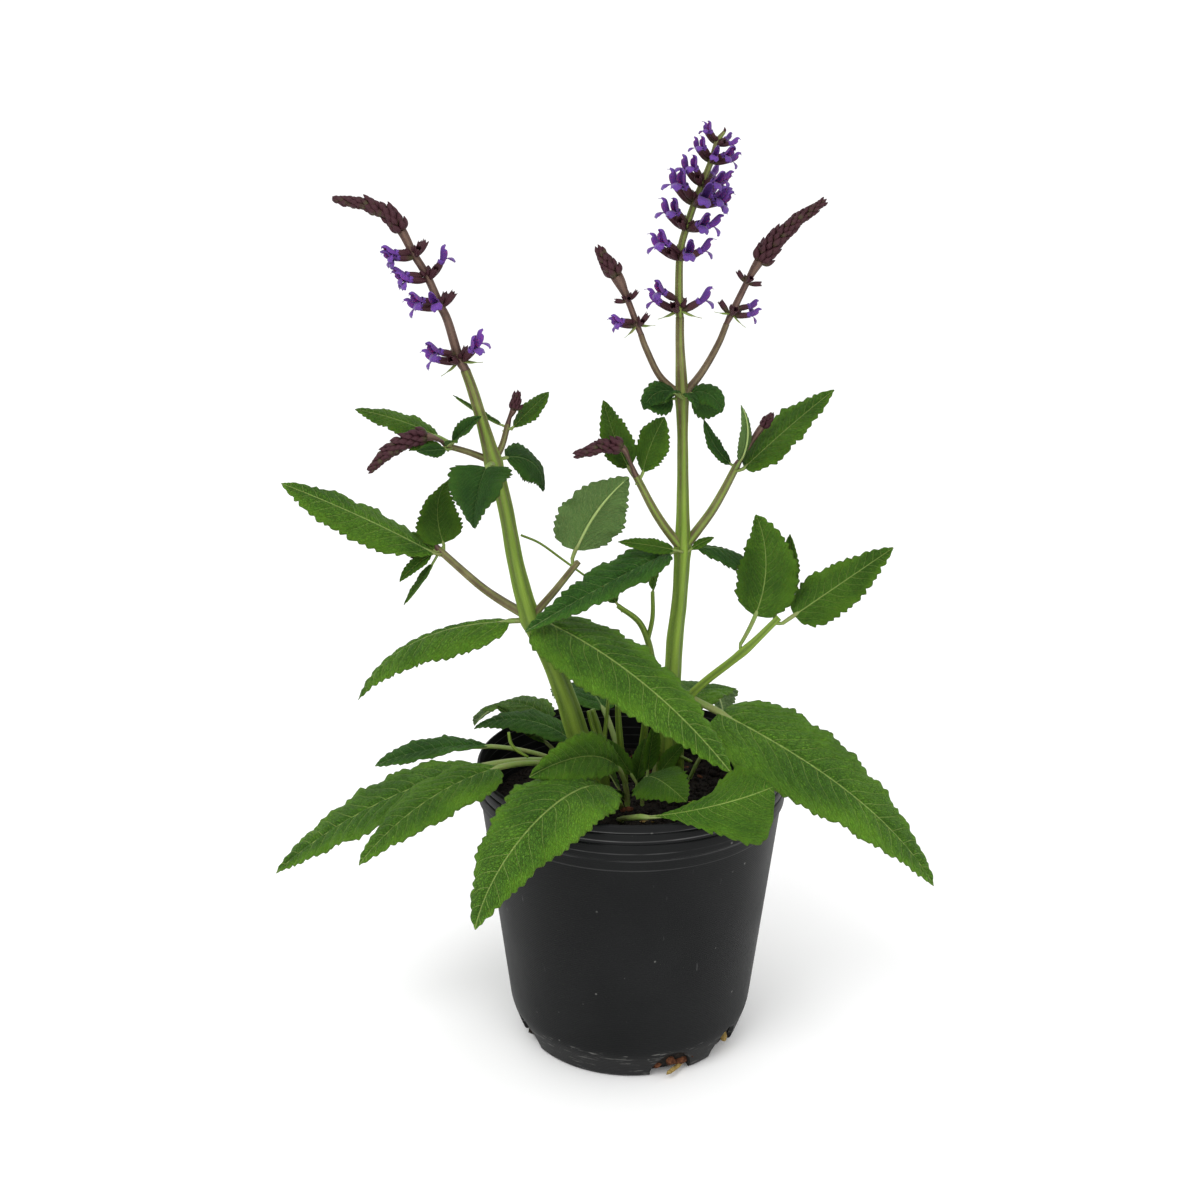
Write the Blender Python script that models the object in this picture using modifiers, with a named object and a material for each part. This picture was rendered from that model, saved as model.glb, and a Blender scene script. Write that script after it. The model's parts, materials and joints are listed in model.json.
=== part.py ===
"""A perennial salvia in its nursery pot.

Lengths in the tables are millimetres and angles are degrees; MM turns them into Blender's metres
as each mesh is made. X runs to the right, Y to the back and Z up, and the pot stands on Z = 0 with
its axis on the Z axis. A heading is an angle in plan from +X towards +Y.
"""
import math
from collections import namedtuple

import bmesh
import bpy
import numpy as np
from mathutils import Matrix, Vector

MM = 0.001
GAP = 0.3                 # clearance where one piece grows from, or lies on, another

# Pot: a blow-moulded nursery pot of trade number 1.
RIM_RADIUS = 82.5
POT_HEIGHT = 157.0
BAND_HEIGHT = 19.0        # the ribbed band below the rim
BAND_STEP = 1.6           # how far the band stands out from the wall
SHOULDER_RADIUS = 66.5
SHOULDER_HEIGHT = 17.0
FOOT_RADIUS = 60.0
WALL = 1.4
FLOOR = 1.8
LIP_ROUND = 0.8           # how much of the rim's edge is cut off
TURN_STEPS = 30
GROOVE = 0.7
GROOVE_DROPS = (4.6, 10.4)            # below the rim
DRAIN_HEADINGS = (-154, -70, -36, 20, 82, 145)
DRAIN_RADIUS = 7.5
DRAIN_STRETCH = 1.5                   # along the wall
DRAIN_AWAY = 63.0                     # from the pot's axis to the middle of a hole
DRAIN_HEIGHT = 4.0
DRAIN_LENGTH = 22.0
DRAIN_LEAN = 52.0                     # from upright, outwards and down

# Potting mix: its top is a low mound around the plant.
SOIL_TOP = 129.0
MOUND_HEIGHT = 3.0
MOUND_RADIUS = 34.0
HOLE_CLEARANCE = 0.6

# Leaves.
BLADE_THICK = 0.65
KEEL = 0.5                # how far the midrib stands out below the blade
TOOTH_DEPTH = 0.09        # as a share of the blade's half width
TOOTH_PITCH = 12.0
TIP_WIDTH = 0.9
STALK_STEP = 16.0
END_SETBACK = 1.5         # how far below a shoot's end its leaves leave it
FULLNESS = 0.75           # less fills the blade's two ends out


# ------------------------------------------------------------------ materials and small tools

def material(name, colour, roughness, metallic=0.0):
    made = bpy.data.materials.new(name)
    made.use_nodes = True
    shader = made.node_tree.nodes["Principled BSDF"]
    shader.inputs["Base Color"].default_value = (*colour, 1.0)
    shader.inputs["Roughness"].default_value = roughness
    shader.inputs["Metallic"].default_value = metallic
    made.diffuse_color = (*colour, 1.0)
    return made


def clear_scene():
    for thing in list(bpy.data.objects):
        bpy.data.objects.remove(thing, do_unlink=True)


def new_collection(name):
    made = bpy.data.collections.new(name)
    bpy.context.scene.collection.children.link(made)
    return made


def mesh_object(name, points, faces, collection):
    """A mesh object from points in millimetres."""
    mesh = bpy.data.meshes.new(name)
    mesh.from_pydata([Vector(point) * MM for point in points], [], faces)
    mesh.update()
    made = bpy.data.objects.new(name, mesh)
    collection.objects.link(made)
    return made


def finish_piece(piece, name, coat, smooth_angle=35.0):
    """Name a finished piece, triangulate it and give it its material."""
    work = bmesh.new()
    work.from_mesh(piece.data)
    bmesh.ops.triangulate(work, faces=work.faces)
    work.to_mesh(piece.data)
    work.free()
    piece.name = name
    piece.data.name = name
    piece.data.materials.clear()
    piece.data.materials.append(coat)
    piece.data.shade_smooth()
    piece.data.set_sharp_from_angle(angle=math.radians(smooth_angle))
    return piece


def evaluated_mesh(source, name, collection):
    """The source object as its modifiers leave it, as a new plain mesh object."""
    graph = bpy.context.evaluated_depsgraph_get()
    mesh = bpy.data.meshes.new_from_object(source.evaluated_get(graph))
    made = bpy.data.objects.new(name, mesh)
    made.matrix_world = source.matrix_world
    collection.objects.link(made)
    bpy.data.objects.remove(source, do_unlink=True)
    return made


def turned(name, profile, collection):
    """A solid turned around Z from a profile of (radius, height) pairs."""
    points = [(radius, 0.0, height) for radius, height in profile]
    edges = [(index, index + 1) for index in range(len(points) - 1)]
    mesh = bpy.data.meshes.new(name)
    mesh.from_pydata([Vector(point) * MM for point in points], edges, [])
    made = bpy.data.objects.new(name, mesh)
    collection.objects.link(made)
    screw = made.modifiers.new("turn", "SCREW")
    screw.steps = TURN_STEPS
    screw.render_steps = TURN_STEPS
    screw.use_merge_vertices = True
    screw.merge_threshold = 0.00001
    bpy.context.view_layer.update()
    return evaluated_mesh(made, name, collection)


def boolean(piece, operation, operands):
    """Apply one Boolean with every object of a collection, and remove those objects."""
    cut = piece.modifiers.new("cut", "BOOLEAN")
    cut.operation = operation
    cut.operand_type = "COLLECTION"
    cut.collection = operands
    cut.solver = "EXACT"
    bpy.context.view_layer.update()
    graph = bpy.context.evaluated_depsgraph_get()
    mesh = bpy.data.meshes.new_from_object(piece.evaluated_get(graph))
    piece.modifiers.remove(cut)
    piece.data = mesh
    for thing in list(operands.objects):
        bpy.data.objects.remove(thing, do_unlink=True)
    return piece


def smooth_line(points, step):
    """Points about `step` apart on a smooth curve through hand-placed points."""
    knots = np.array(points, dtype=float)
    padded = np.vstack([2 * knots[0] - knots[1], knots, 2 * knots[-1] - knots[-2]])
    line = [knots[0]]
    for index in range(1, len(padded) - 2):
        before, start, end, after = padded[index - 1:index + 3]
        count = max(1, round(np.linalg.norm((end - start)[:3]) / step))
        for part in range(1, count + 1):
            t = part / count
            line.append(0.5 * (2 * start + (end - before) * t
                               + (2 * before - 5 * start + 4 * end - after) * t * t
                               + (3 * start - before - 3 * end + after) * t ** 3))
    return np.array(line)


def tube(name, line, collection, resolution=2):
    """A closed round tube along points of (x, y, z, radius)."""
    data = bpy.data.curves.new(name, "CURVE")
    data.dimensions = "3D"
    data.bevel_depth = MM
    data.bevel_resolution = resolution
    data.use_fill_caps = True
    spline = data.splines.new("POLY")
    spline.points.add(len(line) - 1)
    for point, row in zip(spline.points, line):
        point.co = (row[0] * MM, row[1] * MM, row[2] * MM, 1.0)
        point.radius = row[3]
    made = bpy.data.objects.new(name, data)
    collection.objects.link(made)
    bpy.context.view_layer.update()
    solid = evaluated_mesh(made, name, collection)
    work = bmesh.new()
    work.from_mesh(solid.data)
    bmesh.ops.remove_doubles(work, verts=work.verts, dist=1e-6)
    bmesh.ops.recalc_face_normals(work, faces=work.faces)
    work.to_mesh(solid.data)
    work.free()
    return solid


def rings_solid(name, rings, collection):
    """Closed solid lofted through rings of equal point counts; both ends are capped."""
    count = len(rings[0])
    points = [tuple(point) for ring in rings for point in ring]
    faces = []
    for row in range(len(rings) - 1):
        low = row * count
        high = low + count
        for side in range(count):
            after = (side + 1) % count
            faces.append((low + side, low + after, high + after))
            faces.append((low + side, high + after, high + side))
    last = (len(rings) - 1) * count
    faces.append(tuple(reversed(range(count))))
    faces.append(tuple(range(last, last + count)))
    made = mesh_object(name, points, faces, collection)
    work = bmesh.new()
    work.from_mesh(made.data)
    bmesh.ops.recalc_face_normals(work, faces=work.faces)
    work.to_mesh(made.data)
    work.free()
    return made


# ------------------------------------------------------------------ pot and potting mix

def wall_radius(height):
    """The outside of the tapered wall at a height above the shoulder."""
    band_foot = POT_HEIGHT - BAND_HEIGHT
    top = RIM_RADIUS - BAND_STEP
    share = (height - SHOULDER_HEIGHT) / (band_foot - SHOULDER_HEIGHT)
    return SHOULDER_RADIUS + (top - SHOULDER_RADIUS) * share


def pot_profile():
    band_foot = POT_HEIGHT - BAND_HEIGHT
    profile = [(0.0, FLOOR),
               (FOOT_RADIUS - WALL, FLOOR),
               (SHOULDER_RADIUS - WALL, SHOULDER_HEIGHT),
               (wall_radius(POT_HEIGHT) - WALL, POT_HEIGHT - LIP_ROUND / 2),
               (RIM_RADIUS - LIP_ROUND, POT_HEIGHT),
               (RIM_RADIUS, POT_HEIGHT - LIP_ROUND)]
    radius = RIM_RADIUS
    for drop in GROOVE_DROPS:
        height = POT_HEIGHT - drop
        profile += [(radius, height + GROOVE), (radius - GROOVE, height),
                    (radius - 0.2, height - GROOVE)]
        radius -= 0.2
    profile += [(radius, band_foot + 0.7),
                (wall_radius(band_foot), band_foot),
                (SHOULDER_RADIUS, SHOULDER_HEIGHT),
                (FOOT_RADIUS + 0.7, 1.0),
                (FOOT_RADIUS, 0.0),
                (0.0, 0.0)]
    return profile


def make_pot(collection, cutters, coat):
    pot = turned("pot", pot_profile(), collection)
    for heading in DRAIN_HEADINGS:
        turn = math.radians(heading)
        place = Vector((math.cos(turn) * DRAIN_AWAY, math.sin(turn) * DRAIN_AWAY, DRAIN_HEIGHT))
        bpy.ops.mesh.primitive_cylinder_add(vertices=10, radius=DRAIN_RADIUS * MM,
                                            depth=DRAIN_LENGTH * MM)
        hole = bpy.context.object
        hole.data.transform(Matrix.Diagonal((1.0, DRAIN_STRETCH, 1.0, 1.0)))
        hole.data.transform(Matrix.Rotation(math.radians(DRAIN_LEAN), 4, "Y"))
        hole.data.transform(Matrix.Rotation(turn, 4, "Z"))
        hole.data.transform(Matrix.Translation(place * MM))
        for home in list(hole.users_collection):
            home.objects.unlink(hole)
        cutters.objects.link(hole)
    boolean(pot, "DIFFERENCE", cutters)
    return finish_piece(pot, "pot", coat)


def soil_height(x, y):
    """The mix's top: a low mound round the plant, and gentle lumps out to the wall."""
    away = math.hypot(x, y)
    mound = MOUND_HEIGHT * math.exp(-(away / MOUND_RADIUS) ** 2)
    lumps = 0.9 * math.sin(x * 0.21 + 1.0) * math.cos(y * 0.18) * min(1.0, away / 60.0)
    return SOIL_TOP + mound + lumps


def make_mix(collection, cutters, rooted, coat):
    """The plug of potting mix, with a plain hole for every stem that stands in it."""
    inner_top = wall_radius(SOIL_TOP) - WALL - GAP
    profile = [(0.0, SOIL_TOP)]
    profile += [(inner_top * share, SOIL_TOP) for share in (0.4, 0.8, 1.0)]
    profile += [(SHOULDER_RADIUS - WALL - GAP, SHOULDER_HEIGHT),
                (FOOT_RADIUS - WALL - 2 * GAP, FLOOR + GAP),
                (0.0, FLOOR + GAP)]
    mix = turned("potting_mix", profile, collection)
    for vertex in mix.data.vertices:
        if vertex.co.z > (SOIL_TOP - 1.0) * MM:
            x, y = vertex.co.x / MM, vertex.co.y / MM
            away = math.hypot(x, y)
            if away < inner_top - 1.0:
                vertex.co.z = soil_height(x, y) * MM
    for line in rooted:
        low, high = np.array(line[0]), np.array(line[1])
        along = (high - low)[:3] / np.linalg.norm((high - low)[:3])
        radius = max(low[3], high[3]) + HOLE_CLEARANCE
        start = np.append(low[:3] - along * HOLE_CLEARANCE, radius)
        end = np.append(high[:3] + along * 30.0, radius)
        tube("hole", [start, end], cutters)
    boolean(mix, "DIFFERENCE", cutters)
    return finish_piece(mix, "potting_mix", coat)


# ------------------------------------------------------------------ stems

# Centre lines placed by hand from the root up: x, y, z, radius.
STEM_LEFT = ((-16, 12, 114, 6.0), (-18, 12, 133, 6.0), (-22, 11.2, 147, 5.9), (-28, 10, 164, 5.8),
             (-35, 9, 188, 5.2), (-44, 8, 213, 4.7), (-53, 6, 234, 4.8), (-60, 4, 263, 4.0),
             (-65, 2, 295, 3.6), (-70.5, 0, 319, 3.9), (-75, -2, 338, 2.9), (-79.5, -3, 355, 2.5),
             (-83, -4, 366, 2.3))
LEFT_SHOOTS = {
    "low_left": ((-53, 6, 234, 2.6), (-77, 14, 247, 2.2), (-102, 22, 267, 1.9)),
    "low_right": ((-53, 6, 234, 2.2), (-41, 3, 249, 1.9), (-28, -2, 267, 1.6)),
    "high_left": ((-70.5, 0, 319, 1.8), (-82, -1, 324, 1.5), (-93, -2, 327.5, 1.4)),
    "high_right": ((-70.5, 0, 319, 1.8), (-66, 2, 327, 1.5), (-63, 4, 337.5, 1.4)),
}

STEM_RIGHT = ((16, 12, 114, 4.8), (18, 12, 133, 4.8), (20, 11, 165, 4.6), (22, 10, 198, 4.3),
              (23, 9, 222, 4.2), (25, 8, 244, 3.8), (26, 7, 271, 3.9), (25.7, 6, 299, 3.0),
              (25, 5, 330, 2.6), (24.3, 4, 351, 3.0), (22.8, 3, 378, 2.1), (22.5, 2, 391, 2.0))
RIGHT_SHOOTS = {
    "low_left": ((26, 7, 271, 2.4), (13, 1, 290, 2.1), (1.4, -4, 312.6, 1.7)),
    "low_right": ((26, 7, 271, 2.6), (42, 12, 292, 2.3), (54, 16, 314, 1.9)),
    "high_left": ((24.3, 4, 351, 2.0), (13, 2, 362, 1.6), (6, -1, 376, 1.5), (3.2, -3, 383.5, 1.4)),
    "high_right": ((24.3, 4, 351, 2.2), (34, 6, 363, 1.8), (42, 7, 377, 1.6), (46, 8, 387, 1.5)),
}

# The low shoot on the right, its fork, and the short shoots behind the middle.
LOW_SHOOT = ((27, 22, 116, 2.6), (27, 21, 133, 2.6), (27, 15, 168, 2.5), (32, 8, 190, 2.4),
             (59, 0, 218, 2.2), (77, 4, 235, 1.8))
CENTRE_SHOOT = ((4, 34, 116, 2.0), (5, 34, 133, 2.0), (9, 32, 168, 1.9), (12, 31, 198, 1.8),
                (6, 35, 220, 1.6), (-7, 40, 230, 1.3))
CENTRE_BRANCH = ((9, 33, 211, 1.3), (12, 37, 224, 1.2), (12, 40, 238, 1.0))
THIN_SHOOTS = (((-12, 30, 116, 1.8), (-13, 30, 133, 1.8), (-17, 31, 158, 1.7), (-21, 32, 172, 1.4)),
               ((-3, 24, 116, 1.8), (-3, 24, 133, 1.8), (-6, 24, 160, 1.7), (-7, 24, 178, 1.4)))

# The crown between the stems, and the young leaves fused to it: heading and size.
CROWN = ((1, 6, 118, 7.5), (1, 6, 130, 8.5), (1, 5, 136, 7.0), (1, 5, 140, 3.5))
CROWN_LEAF_ROW = 2
CROWN_LEAVES = ((0, 1.25), (175, 1.1), (70, 1.15))

STEM_STEP = 18.0


def make_stem(name, main, shoots, collection, operands, coat, resolution=2):
    """A main stem with its side shoots fused into it."""
    stem = tube(name, smooth_line(main, STEM_STEP), collection, resolution)
    for shoot in shoots:
        tube("shoot", smooth_line(shoot, STEM_STEP), operands, 1)
    if shoots:
        boolean(stem, "UNION", operands)
    return finish_piece(stem, name, coat)


# ------------------------------------------------------------------ leaves

# seat: the node, shoot end or place (x, y) on the mix that it grows from; heading, rise: the way its
# stalk sets out; droop, sweep: how far it bends down and sideways by its tip; bend: 1 droops evenly,
# less droops early and more droops late; peak: how far along the blade it is widest; roll, twist: the
# blade's tilt about its midrib at the base, and what the tip adds; fold, curl: how far each half is
# raised at the midrib, and how much more it bends by the margin.
Leaf = namedtuple("Leaf", "name seat heading rise droop bend sweep stalk petiole blade width peak"
                          " roll twist fold curl tone")

# Places on the stems that leaves and buds grow from: a row of the stem's own table.
NODES = {
    "left_foot": (STEM_LEFT, 1),
    "left_base": (STEM_LEFT, 2),
    "left_low": (STEM_LEFT, 6),
    "left_high": (STEM_LEFT, 9),
    "right_low": (STEM_RIGHT, 6),
    "right_high": (STEM_RIGHT, 9),
    "low_base": (LOW_SHOOT, 3),
    "low_fork": (LOW_SHOOT, 4),
}
ENDS = {
    "left_low_left": LEFT_SHOOTS["low_left"],
    "left_low_right": LEFT_SHOOTS["low_right"],
    "left_high_left": LEFT_SHOOTS["high_left"],
    "left_high_right": LEFT_SHOOTS["high_right"],
    "right_low_left": RIGHT_SHOOTS["low_left"],
    "right_low_right": RIGHT_SHOOTS["low_right"],
    "low_end": LOW_SHOOT,
}

LEAVES = (
    # the two nodes of the left stem
    Leaf("left_low_front", "left_low", -35, -10, 35, 1, 5, 2.0, 2, 130, 50, 0.25, -5, -25, 0, -20, "mid"),
    Leaf("left_low_back", "left_low", 170, -5, 60, 1.5, 0, 1.9, 6, 105, 38, 0.3, 5, 10, -15, -30, "mid"),
    Leaf("left_high_front", "left_high", -100, 45, 140, 0.6, -20, 1.3,
         12, 34, 36, 0.3, 0, -30, 20, -20, "dark"),
    Leaf("left_high_back", "left_high", 30, 10, 110, 1.2, 0, 1.2,
         3, 34, 24, 0.4, -40, -10, -10, -10, "dark"),
    # the side shoots of the left stem
    Leaf("left_low_left_long", "left_low_left", 180, 30, 15, 1, -20, 1.2,
         2, 90, 30, 0.4, 15, 20, -15, -10, "mid"),
    Leaf("left_low_left_small", "left_low_left", 135, 60, -80, 1.2, 5, 1,
         2, 38, 25, 0.25, 25, -20, 5, 0, "mid"),
    Leaf("left_low_left_low", "left_low_left", 208, -56, -10, 1, 0, 0.9,
         6, 26, 9, 0.35, 0, 0, 10, 0, "young"),
    Leaf("left_low_right_big", "left_low_right", -25, 70, 30, 1.2, 10, 1.3,
         6, 50, 38, 0.35, 45, 10, 0, 0, "pale"),
    Leaf("left_high_left_long", "left_high_left", 170, 27, 22, 1, -10, 1,
         8, 46, 18, 0.4, 20, 0, -10, 0, "mid"),
    Leaf("left_high_left_right", "left_high_left", -45, 45, 10, 1, 25, 0.9,
         1, 24, 10, 0.45, -60, -10, 25, 0, "dark"),
    Leaf("left_high_left_low", "left_high_left", 225, 5, 0, 1, 0, 0.8, 3, 18, 9, 0.45, 40, 5, 0, 0, "dark"),
    Leaf("left_high_right_big", "left_high_right", 10, 45, 5, 1, 5, 0.9,
         1, 25, 14, 0.45, -25, -5, -5, 0, "mid"),
    Leaf("left_high_right_thin", "left_high_right", 155, 20, -10, 1, 0, 0.8,
         2, 30, 6, 0.35, 0, 0, 10, 0, "mid"),
    # the two nodes of the right stem
    Leaf("right_low_left", "right_low", 200, -15, 15, 0.5, -10, 1.8,
         3, 85, 30, 0.25, 10, 20, 15, -20, "dark"),
    Leaf("right_low_right", "right_low", 35, 0, 50, 1, 0, 1.6, 5, 58, 26, 0.4, -10, 0, -20, -20, "dark"),
    Leaf("right_high_left", "right_high", 205, -4, -10, 1, 0, 0.9,
         2, 18, 16, 0.35, 35, 0, -20, -20, "dark"),
    Leaf("right_high_right", "right_high", 20, -28, -25, 1, 5, 0.9,
         2, 19, 17, 0.35, -40, 0, -20, -20, "dark"),
    # the side shoots of the right stem
    Leaf("right_low_left_right", "right_low_left", -10, 80, 20, 1, 5, 1.1,
         2, 30, 20, 0.45, -55, -10, -10, 0, "mid"),
    Leaf("right_low_left_left", "right_low_left", 160, 50, -25, 0.5, 5, 1.1,
         6, 36, 19, 0.35, 40, -5, 5, 0, "mid"),
    Leaf("right_low_right_big", "right_low_right", 0, 45, 8, 1.2, 10, 1.3,
         2, 60, 28, 0.3, -25, -5, 0, 0, "mid"),
    Leaf("right_low_right_thin", "right_low_right", 190, 40, -35, 1, 0, 0.9,
         1, 28, 10, 0.4, 45, 10, 0, 0, "dark"),
    Leaf("right_low_right_small", "right_low_right", -30, 60, -60, 1.2, 0, 0.9,
         4, 30, 9, 0.35, 20, 0, 10, 0, "mid"),
    # the low shoot
    Leaf("low_fork_leaf", "low_fork", 0, 60, -55, 1.2, 10, 1.3, 18, 56, 36, 0.3, -75, 20, -20, -10, "mid"),
    Leaf("low_end_right", "low_end", 5, 35, 0, 1, 0, 1.3, 8, 62, 28, 0.3, -50, -5, -15, 0, "mid"),
    Leaf("low_end_back", "low_end", 45, 45, -60, 1, 15, 1, 6, 40, 15, 0.35, 0, 0, 10, 0, "mid"),
    # the rosette, from the right round by the back to the front
    Leaf("rosette_right", "low_base", -40, -10, 50, 1.2, 45, 2.4,
         16, 150, 60, 0.25, -10, -20, 5, -15, "mid"),
    Leaf("rosette_right_small", (34, 32), 15, 70, 55, 1, 0, 1.4, 36, 24, 13, 0.35, 0, 0, 10, 0, "mid"),
    Leaf("rosette_back_left", (-16, 24), 165, 72, 105, 1, 5, 1.6, 30, 60, 24, 0.35, 10, 0, 5, -20, "dark"),
    Leaf("rosette_back", (-4, 36), 110, 62, 125, 1, 0, 1.8, 42, 88, 36, 0.35, 0, 0, 5, -15, "dark"),
    Leaf("rosette_back_right", (14, 36), 60, 60, 125, 1, 10, 2, 42, 96, 38, 0.35, 0, 0, 5, -15, "mid"),
    Leaf("rosette_left_back", (-20, 30), 140, 62, 118, 1, -5, 1.8, 44, 74, 30, 0.35, 0, 0, 5, -15, "mid"),
    Leaf("rosette_back_thin", (-25, 22), 150, 45, 28, 1, 0, 1.2, 33, 37, 9, 0.35, 30, 0, 5, 0, "mid"),
    Leaf("rosette_left_high", "left_base", 195, 45, 75, 0.7, -35, 1.6,
         52, 68, 20, 0.45, -5, 40, 15, -20, "dark"),
    Leaf("rosette_left_big", "left_base", 210, 65, 110, 0.4, -40, 2.4,
         65, 125, 44, 0.3, 0, 25, 5, -15, "mid"),
    Leaf("rosette_left_under", "left_foot", 225, 70, 120, 0.7, -25, 2,
         75, 88, 40, 0.3, 0, 10, 5, -25, "mid"),
    Leaf("rosette_front_left", (-6, -10), -105, 50, 125, 1.2, -40, 2.2,
         30, 130, 48, 0.4, 10, 0, 5, -20, "mid"),
    Leaf("rosette_front_over", (-2, -6), -110, 90, 110, 0.8, -40, 1.8,
         28, 68, 25, 0.5, 65, 10, 25, -20, "mid"),
    Leaf("rosette_front", (6, -6), -95, 90, 110, 0.7, 45, 1.3, 28, 45, 30, 0.4, -25, 10, -5, -10, "young"),
    Leaf("rosette_front_right", (-6, -26), -100, 30, 15, 1, 120, 1.8,
         48, 74, 50, 0.8, -40, -10, -35, -5, "young"),
)


def midrib(leaf, count):
    """Centre line, tangent, side and normal at `count` even stations from root to tip."""
    length = leaf.petiole + leaf.blade
    stations = np.linspace(0.0, 1.0, count)
    fine = np.linspace(0.0, 1.0, 129)
    rise = np.radians(leaf.rise - leaf.droop * fine ** leaf.bend)
    turn = np.radians(leaf.heading + leaf.sweep * fine)
    tangent = np.stack([np.cos(rise) * np.cos(turn), np.cos(rise) * np.sin(turn), np.sin(rise)], 1)
    steps = 0.5 * (tangent[1:] + tangent[:-1]) * length / 128
    line = np.vstack([np.zeros(3), np.cumsum(steps, axis=0)])
    line = line + seat_of(leaf.seat, tangent[0], leaf.stalk)
    centre = np.stack([np.interp(stations, fine, line[:, axis]) for axis in range(3)], 1)
    rise = np.radians(leaf.rise - leaf.droop * stations ** leaf.bend)
    turn = np.radians(leaf.heading + leaf.sweep * stations)
    tangent = np.stack([np.cos(rise) * np.cos(turn), np.cos(rise) * np.sin(turn), np.sin(rise)], 1)
    normal = np.stack([-np.sin(rise) * np.cos(turn), -np.sin(rise) * np.sin(turn), np.cos(rise)], 1)
    side = np.cross(tangent, normal)
    start = leaf.petiole / length
    share = np.clip((stations - start) / (1.0 - start), 0.0, 1.0)
    angle = np.radians(leaf.roll * np.clip(stations / start, 0.0, 1.0) + leaf.twist * share)[:, None]
    rolled_side = side * np.cos(angle) + normal * np.sin(angle)
    rolled_normal = normal * np.cos(angle) - side * np.sin(angle)
    return centre, tangent, rolled_side, rolled_normal, share


def seat_of(seat, tangent, radius):
    """Where a stalk of this radius starts: just off the side of its stem or shoot, or off the mix."""
    if seat in NODES:
        rows, index = NODES[seat]
        line = np.array(rows, dtype=float)
        place = line[index, :3]
        axis = line[index + 1, :3] - line[index - 1, :3]
    elif seat in ENDS:
        line = np.array(ENDS[seat], dtype=float)
        index = len(line) - 1
        axis = line[index, :3] - line[index - 1, :3]
        place = line[index, :3] - axis / np.linalg.norm(axis) * END_SETBACK
    else:
        x, y = seat
        slope = math.sqrt(max(0.0, 1.0 - tangent[2] ** 2))
        return np.array([x, y, soil_height(x, y) + GAP + radius * slope])
    axis = axis / np.linalg.norm(axis)
    along = float(tangent @ axis)
    outward = tangent - axis * along
    outward = outward / np.linalg.norm(outward)
    return place + outward * (line[index, 3] + GAP + radius * abs(along))


def half_width(leaf, share):
    """Half of the blade's width along it, full at the base and drawn out to a point."""
    power = math.log(0.5) / math.log(leaf.peak)
    swell = np.clip(np.sin(np.pi * np.clip(share, 0.0, 1.0) ** power), 0.0, 1.0)
    return 0.5 * leaf.width * swell ** FULLNESS


def margin(leaf, side, normal, half, hand):
    """The offset from the midrib to the margin of one half, and the half's own normal there."""
    reach = np.zeros(3)
    parts = 4
    for part in range(parts):
        angle = math.radians(leaf.fold + leaf.curl * (part + 0.5) / parts)
        reach = reach + (side * hand * math.cos(angle) + normal * math.sin(angle)) * half / parts
    angle = math.radians(leaf.fold + leaf.curl)
    own_normal = normal * math.cos(angle) - side * hand * math.sin(angle)
    return reach, own_normal


def make_leaf(leaf, collection, coats):
    """One leaf, stalk and blade lofted in one: six points a section, three on each face."""
    length = leaf.petiole + leaf.blade
    teeth = max(3, round(leaf.blade / TOOTH_PITCH))
    stalk_rows = max(2, round(leaf.petiole / STALK_STEP) + 1)
    stations = list(np.linspace(0.0, leaf.petiole, stalk_rows, endpoint=False))
    stations += list(leaf.petiole + leaf.blade * (np.arange(2 * teeth) + 0.5) / (2 * teeth))
    stations += [length]
    count = 400
    centre, _, side, normal, share = midrib(leaf, count + 1)
    rings = []
    for row, station in enumerate(stations):
        at = round(station / length * count)
        middle, across, up = centre[at], side[at], normal[at]
        if station < leaf.petiole:
            ring = []
            for angle in (150, 90, 30, -30, -90, -150):
                turn = math.radians(angle)
                ring.append(middle + across * leaf.stalk * math.cos(turn)
                            + up * leaf.stalk * 0.8 * math.sin(turn))
            rings.append(ring)
            continue
        half = float(half_width(leaf, share[at]))
        tooth = (row - stalk_rows) % 2
        half = max(half * (1.0 - TOOTH_DEPTH * tooth), TIP_WIDTH / 2)
        left, left_up = margin(leaf, across, up, half, -1)
        right, right_up = margin(leaf, across, up, half, 1)
        thick = BLADE_THICK / 2
        keel = KEEL * (1.0 - share[at])
        rings.append([middle + left + left_up * thick,
                      middle + up * thick,
                      middle + right + right_up * thick,
                      middle + right - right_up * thick,
                      middle - up * (thick + keel),
                      middle + left - left_up * thick])
    piece = rings_solid(leaf.name, rings, collection)
    return finish_piece(piece, leaf.name, coats[leaf.tone], 50.0)


# ------------------------------------------------------------------ flower spikes and buds

# A floret is made of straps: stations of (out, up, half width, half thickness) from its root on the
# axis, for a floret of size 1. The hooded upper lip runs on from its calyx in one strap.
CALYX = ((0.0, -2.2, 1.0, 1.0), (4.4, 0.4, 2.1, 1.8), (8.0, 2.6, 1.9, 1.6))
HOODED = ((0.0, -2.2, 1.0, 1.0), (6.2, 1.4, 2.0, 1.7), (11.0, 6.4, 2.1, 1.1), (15.0, 11.2, 0.8, 0.4))
LOWER_LIP = ((6.0, 1.2, 1.2, 0.8), (12.0, 3.4, 2.2, 0.7), (15.6, 3.0, 3.4, 0.5), (17.6, 1.2, 1.4, 0.4))
SCALE = ((0.0, -0.6, 1.4, 1.0), (3.2, 1.8, 2.3, 1.3), (3.8, 6.2, 0.5, 0.4))
YOUNG_LEAF = ((0.0, 0.0, 1.2, 1.0), (3.0, 6.0, 3.0, 0.6), (5.5, 14.0, 3.4, 0.5), (9.0, 22.0, 0.8, 0.4))
LIP_TURN = 4.0            # keeps a lower lip's edges off those of its hood
GOLDEN_ANGLE = 137.5

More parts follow.
